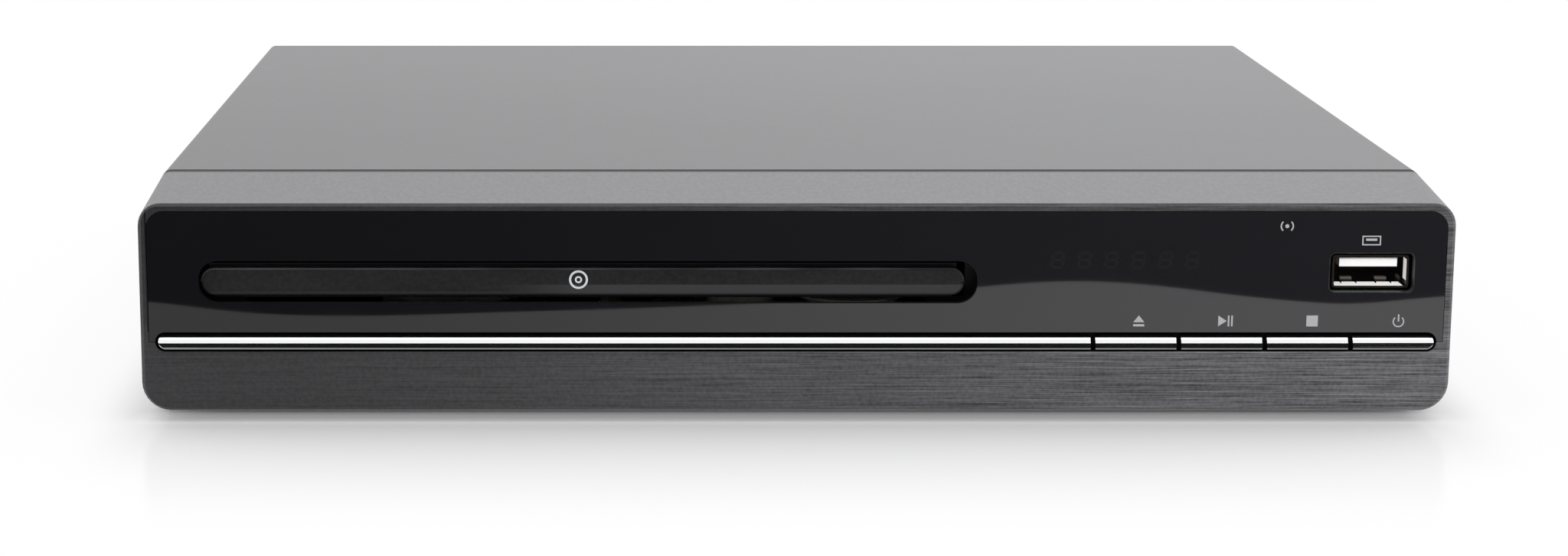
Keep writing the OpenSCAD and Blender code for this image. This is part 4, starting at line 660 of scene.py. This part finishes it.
def ring_patch(centre, inner, outer, start_deg, end_deg, plane_y, steps=40):
    """centre + r (cos t, sin t), with t from start to end along u and r from outer to inner along v."""
    t, r = np.meshgrid(np.radians(np.linspace(start_deg, end_deg, steps)), np.array([outer, inner]) * MM)
    x, z = centre[0] * MM + r * np.cos(t), centre[1] * MM + r * np.sin(t)
    return np.stack([x, np.full_like(x, plane_y), z], -1)


def thicken(thing, depth):
    """Gives a flat print its thickness, to the back of its face."""
    skin = thing.modifiers.new("skin", "SOLIDIFY")
    skin.thickness = depth
    skin.offset = -1.0
    return thing


# %% Signs over the keys
ink = Finish("pale_ink")
ink_grain = ink.noise(5000, 2)
ink.set(Base_Color=ink.scaled(tone(186, 187, 190), 1 + ink_grain * 0.15), Roughness=ink_grain * 0.15 + 0.5)

SIGN_Z = 17.88
SIGN_X = {"eject": 58.78, "play": 73.75, "stop": 88.5, "power": 103.3}
print_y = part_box("gloss_fascia")[0].y - 0.02 * MM


def box_patch(x0, x1, z0, z1):
    """A rectangle seen from the front, in mm."""
    return patch([(x0, z0), (x1, z0), (x1, z1), (x0, z1)], print_y)


ex, px, sx, wx = SIGN_X.values()
eject_sign = [
    patch([(ex - 0.95, SIGN_Z - 0.22), (ex + 0.95, SIGN_Z - 0.22),
           (ex, SIGN_Z + 0.98), (ex, SIGN_Z + 0.98)], print_y),
    box_patch(ex - 0.95, ex + 0.95, SIGN_Z - 0.95, SIGN_Z - 0.57),
]
play_sign = [
    patch([(px - 1.35, SIGN_Z - 0.95), (px + 0.1, SIGN_Z),
           (px + 0.1, SIGN_Z), (px - 1.35, SIGN_Z + 0.95)], print_y),
    box_patch(px + 0.28, px + 0.56, SIGN_Z - 0.95, SIGN_Z + 0.95),
    box_patch(px + 0.86, px + 1.14, SIGN_Z - 0.95, SIGN_Z + 0.95),
]
stop_sign = [box_patch(sx - 0.98, sx + 0.98, SIGN_Z - 0.96, SIGN_Z + 0.96)]
power_sign = [
    ring_patch((wx, SIGN_Z - 0.1), 0.78, 1.0, 130, 410, print_y),
    box_patch(wx - 0.13, wx + 0.13, SIGN_Z - 0.1, SIGN_Z + 1.15),
]
signs = {"eject": eject_sign, "play": play_sign, "stop": stop_sign, "power": power_sign}
for name, sheets in signs.items():
    sign = thicken(sheet_mesh(name + "_sign", sheets), INK_THICK)
    sign.data.materials.append(ink.material)
    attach(sign, "case")
print("signs at Y in mm:", round(print_y / MM, 2))

# %% [markdown]
# ## Marks without words
# Where such players carry lettering, this one has plain pictograms of its own: a disc on the
# tray's door, a plug over the USB socket and a beam over the remote control's window.

# %% Pictograms
door_y = door_low.y - 0.02 * MM
DISC_AT = (-37.3, 24.8)
disc_mark = thicken(sheet_mesh("disc_mark", [
    ring_patch(DISC_AT, 1.25, 1.62, 0, 360, door_y, 72),
    ring_patch(DISC_AT, 0.32, 0.62, 0, 360, door_y, 48),
]), INK_THICK)
white_ink = Finish("white_ink")
white_grain = white_ink.noise(5000, 2)
white_ink.set(Base_Color=white_ink.scaled(tone(226, 227, 229), 1 + white_grain * 0.1))
white_ink.set(Roughness=white_grain * 0.15 + 0.5)
disc_mark.data.materials.append(white_ink.material)
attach(disc_mark, "tray")

PLUG_AT = (98.1, 31.9)
plug_x, plug_z = PLUG_AT
plug_mark = thicken(sheet_mesh("plug_mark", [
    box_patch(plug_x - 1.6, plug_x + 1.6, plug_z + 0.62, plug_z + 0.84),
    box_patch(plug_x - 1.6, plug_x + 1.6, plug_z - 0.84, plug_z - 0.62),
    box_patch(plug_x - 1.6, plug_x - 1.38, plug_z - 0.62, plug_z + 0.62),
    box_patch(plug_x + 1.38, plug_x + 1.6, plug_z - 0.62, plug_z + 0.62),
    box_patch(plug_x - 0.95, plug_x + 0.95, plug_z - 0.05, plug_z + 0.35),
]), INK_THICK)
plug_mark.data.materials.append(ink.material)
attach(plug_mark, "case")

BEAM_AT = (83.6, 34.4)
beam_mark = thicken(sheet_mesh("beam_mark", [
    ring_patch(BEAM_AT, 0.0, 0.34, 0, 360, print_y, 24),
    ring_patch(BEAM_AT, 0.9, 1.14, -48, 48, print_y, 24),
    ring_patch(BEAM_AT, 0.9, 1.14, 132, 228, print_y, 24),
]), INK_THICK)
beam_mark.data.materials.append(ink.material)
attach(beam_mark, "case")

# %% [markdown]
# ## Contacts in the USB socket
# Four gilt springs lie under the white tongue and show as thin bright lines in its shadow.

# %% USB contacts
tongue_x = (tongue_low.x + tongue_high.x) / 2
CONTACT_X = [-3.5, -1.2, 1.2, 3.5]
CONTACT_W = 1.0 * MM
contact_z = tongue_low.z + 0.1 * MM


def contact(offset):
    """A strip under the tongue that dips by 0.25 mm in its middle: z = z0 - 0.25 sin(pi v)."""
    u, v = np.meshgrid(np.linspace(-0.5, 0.5, 2), np.linspace(0, 1, 14))
    x = tongue_x + offset * MM + u * CONTACT_W
    y = tongue_low.y + 1.2 * MM + v * 7.5 * MM
    return np.stack([x, y, contact_z - 0.25 * MM * np.sin(np.pi * v)], -1)


contacts = thicken(sheet_mesh("usb_contacts", [contact(offset) for offset in CONTACT_X]), 0.12 * MM)
gilt = Finish("gilt_contact", Metallic=1.0)
gilt_wear = gilt.noise(1500, 2)
gilt.set(Base_Color=gilt.scaled(tone(226, 190, 108), 1 + gilt_wear * 0.2), Roughness=gilt_wear * 0.15 + 0.25)
contacts.data.materials.append(gilt.material)
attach(contacts, "case")

# %% [markdown]
# ## The table and the dark beyond it
# The player stands on a white sheet whose near edge is just outside the picture. The gloss
# front mirrors that sheet as a grey band and the dark studio beyond it as black, and the
# boundary is the sheet's wavy edge. The sheet itself would cut the picture from other sides,
# so the floor is large and white, and a card that only mirrors can see starts at the edge:
# its outline is worked out from where the boundary should appear on the front. The floor's
# shadow is painted out with white emission as light: fully far off, mostly past the sides and
# 134 to 177 mm out in front and behind, and by a quarter in a band along the front's foot.

# %% Floor
FLOOR_HALF = 9.0
ends = [-FLOOR_HALF, FLOOR_HALF]
floor_grid = np.stack(np.meshgrid(ends, ends, [0.0]), -1)[:, :, 0]
floor = sheet_mesh("studio_floor", [floor_grid])
paper = Finish("floor_paper", Specular_IOR_Level=0.0, Roughness=0.9)
paper_grain = paper.noise(300, 2)
paper.set(Base_Color=paper.scaled(tone(250, 250, 250), 1 + paper_grain * 0.01))
to_eye = [add_node(paper.tree, "LightPath", out=i) for i in (0, 3, 6)]
seen = to_eye[0].largest(to_eye[1]).largest(to_eye[2])

# Painted light: white emission for camera, glossy and transmission rays fades the shadow out, and lightens it
# along the front's foot.
white_far = paper.x.across(paper.y).ramp(0.3, 0.6)
white_side = abs(paper.x).ramp(110 * MM, 124 * MM) * 0.8
contact = abs(paper.y + 100.5 * MM).ramp(1.5 * MM, 6.5 * MM, 0.25, 0.0)
white_front = abs(paper.y).ramp(134 * MM, 177 * MM) * 0.9
fade = white_far.largest(white_side).largest(white_front).largest(contact)

mirror = add_node(paper.tree, "BsdfGlossy", None, {"Color": (1, 1, 1, 1), "Roughness": 0.16})
white = add_node(paper.tree, "Emission", None, {"Color": (1, 1, 1, 1), "Strength": 1.0})
sheen_share = abs(paper.y).ramp(150 * MM, 190 * MM, 0.07, 0.0)
matt = Field(paper.tree, paper.shader.outputs[0])
sheen = add_node(paper.tree, "MixShader", None, {0: sheen_share, 1: matt, 2: mirror})
final = add_node(paper.tree, "MixShader", None, {0: fade * seen, 1: sheen, 2: white})
paper.tree.links.new(final.socket, paper.tree.nodes["Material Output"].inputs["Surface"])
floor.data.materials.append(paper.material)

# %% Dark card seen only by mirrors
BOUNDARY = [(-150, 22.5), (-110.7, 21.35), (-97, 19.5), (-88, 18.9), (-77.4, 18.75),
            (-67, 18.85), (-57.7, 19.2), (-30, 20.0), (-4.4, 21.0), (20, 22.6), (36.7, 24.4),
            (48, 25.0), (60.3, 24.3), (78, 22.0), (94.5, 20.6), (111.3, 22.3), (150, 24)]
edge_x, edge_z = np.array(BOUNDARY).T
fine_x = np.linspace(edge_x[0], edge_x[-1], 160)
fine_z = np.interp(fine_x, edge_x, edge_z)
smoothing = np.hanning(13) / np.hanning(13).sum()
fine_z = np.convolve(np.pad(fine_z, 6, mode="edge"), smoothing, mode="valid")
camera_x, camera_y, camera_z = CAMERA_MM
front_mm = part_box("gloss_fascia")[0].y / MM
mirrored_y = 2 * front_mm - camera_y
LIFT = 0.4
reach_out = (camera_z - LIFT) / (camera_z - fine_z)
near_x = camera_x + reach_out * (fine_x - camera_x)
near_y = mirrored_y + reach_out * (front_mm - mirrored_y)
near_x[0], near_x[-1] = -4000, 4000
CARD_FAR_MM, CARD_WALL_MM = -3000, 1700
CARD_SPREAD = 1.4
far_x, far_y = near_x * CARD_SPREAD, np.full_like(near_x, CARD_FAR_MM)
low_z, wall_z = np.full_like(near_x, LIFT), np.full_like(near_x, CARD_WALL_MM)
rows = [np.stack(row, -1) for row in ([near_x, near_y, low_z], [far_x, far_y, low_z], [far_x, far_y, wall_z])]
card = sheet_mesh("dark_card", [np.stack(rows) * MM])
dark = Finish("dark_studio", Roughness=1.0, Specular_IOR_Level=0.0)
dark_cloud = dark.noise(2.0, 2)
dark.set(Base_Color=dark.scaled(tone(30), 1 + dark_cloud * 0.6))
card.data.materials.append(dark.material)
for sight in ("camera", "diffuse", "shadow", "transmission", "volume_scatter"):
    setattr(card, "visible_" + sight, False)
reach = [round(front_mm - near_y.max()), round(front_mm - near_y.min())]
print("card's near edge, mm in front of the player:", reach)

# %% [markdown]
# ## Light
# The light is a white surrounding, as in a tent of cloth, so that a colour renders about as
# it is written. A large soft lamp above adds a little more on what lies flat than on what
# stands upright; the front's face is darker than the cover mostly by painted shade.

# %% World and lamp
WORLD_STRENGTH = 0.8
world = bpy.data.worlds.new("white_tent")
world.use_nodes = True
bpy.context.scene.world = world
sky = world.node_tree
path = [add_node(sky, "LightPath", out=i) for i in (0, 3, 6)]
direct = path[0].largest(path[1]).largest(path[2])
strength = direct * (1.0 - WORLD_STRENGTH) + WORLD_STRENGTH
sky.links.new(strength.socket, sky.nodes["Background"].inputs["Strength"])
sky.nodes["Background"].inputs["Color"].default_value = (1, 1, 1, 1)

LAMP_SIZE, LAMP_HEIGHT, LAMP_WATTS = 1.4, 1.0, 5.0
lamp_data = bpy.data.lights.new("overhead_softbox", "AREA")
lamp_data.size = LAMP_SIZE
lamp_data.energy = LAMP_WATTS
lamp = bpy.data.objects.new("overhead_softbox", lamp_data)
lamp.location = (0.1, 0.1, LAMP_HEIGHT)
bpy.context.scene.collection.objects.link(lamp)
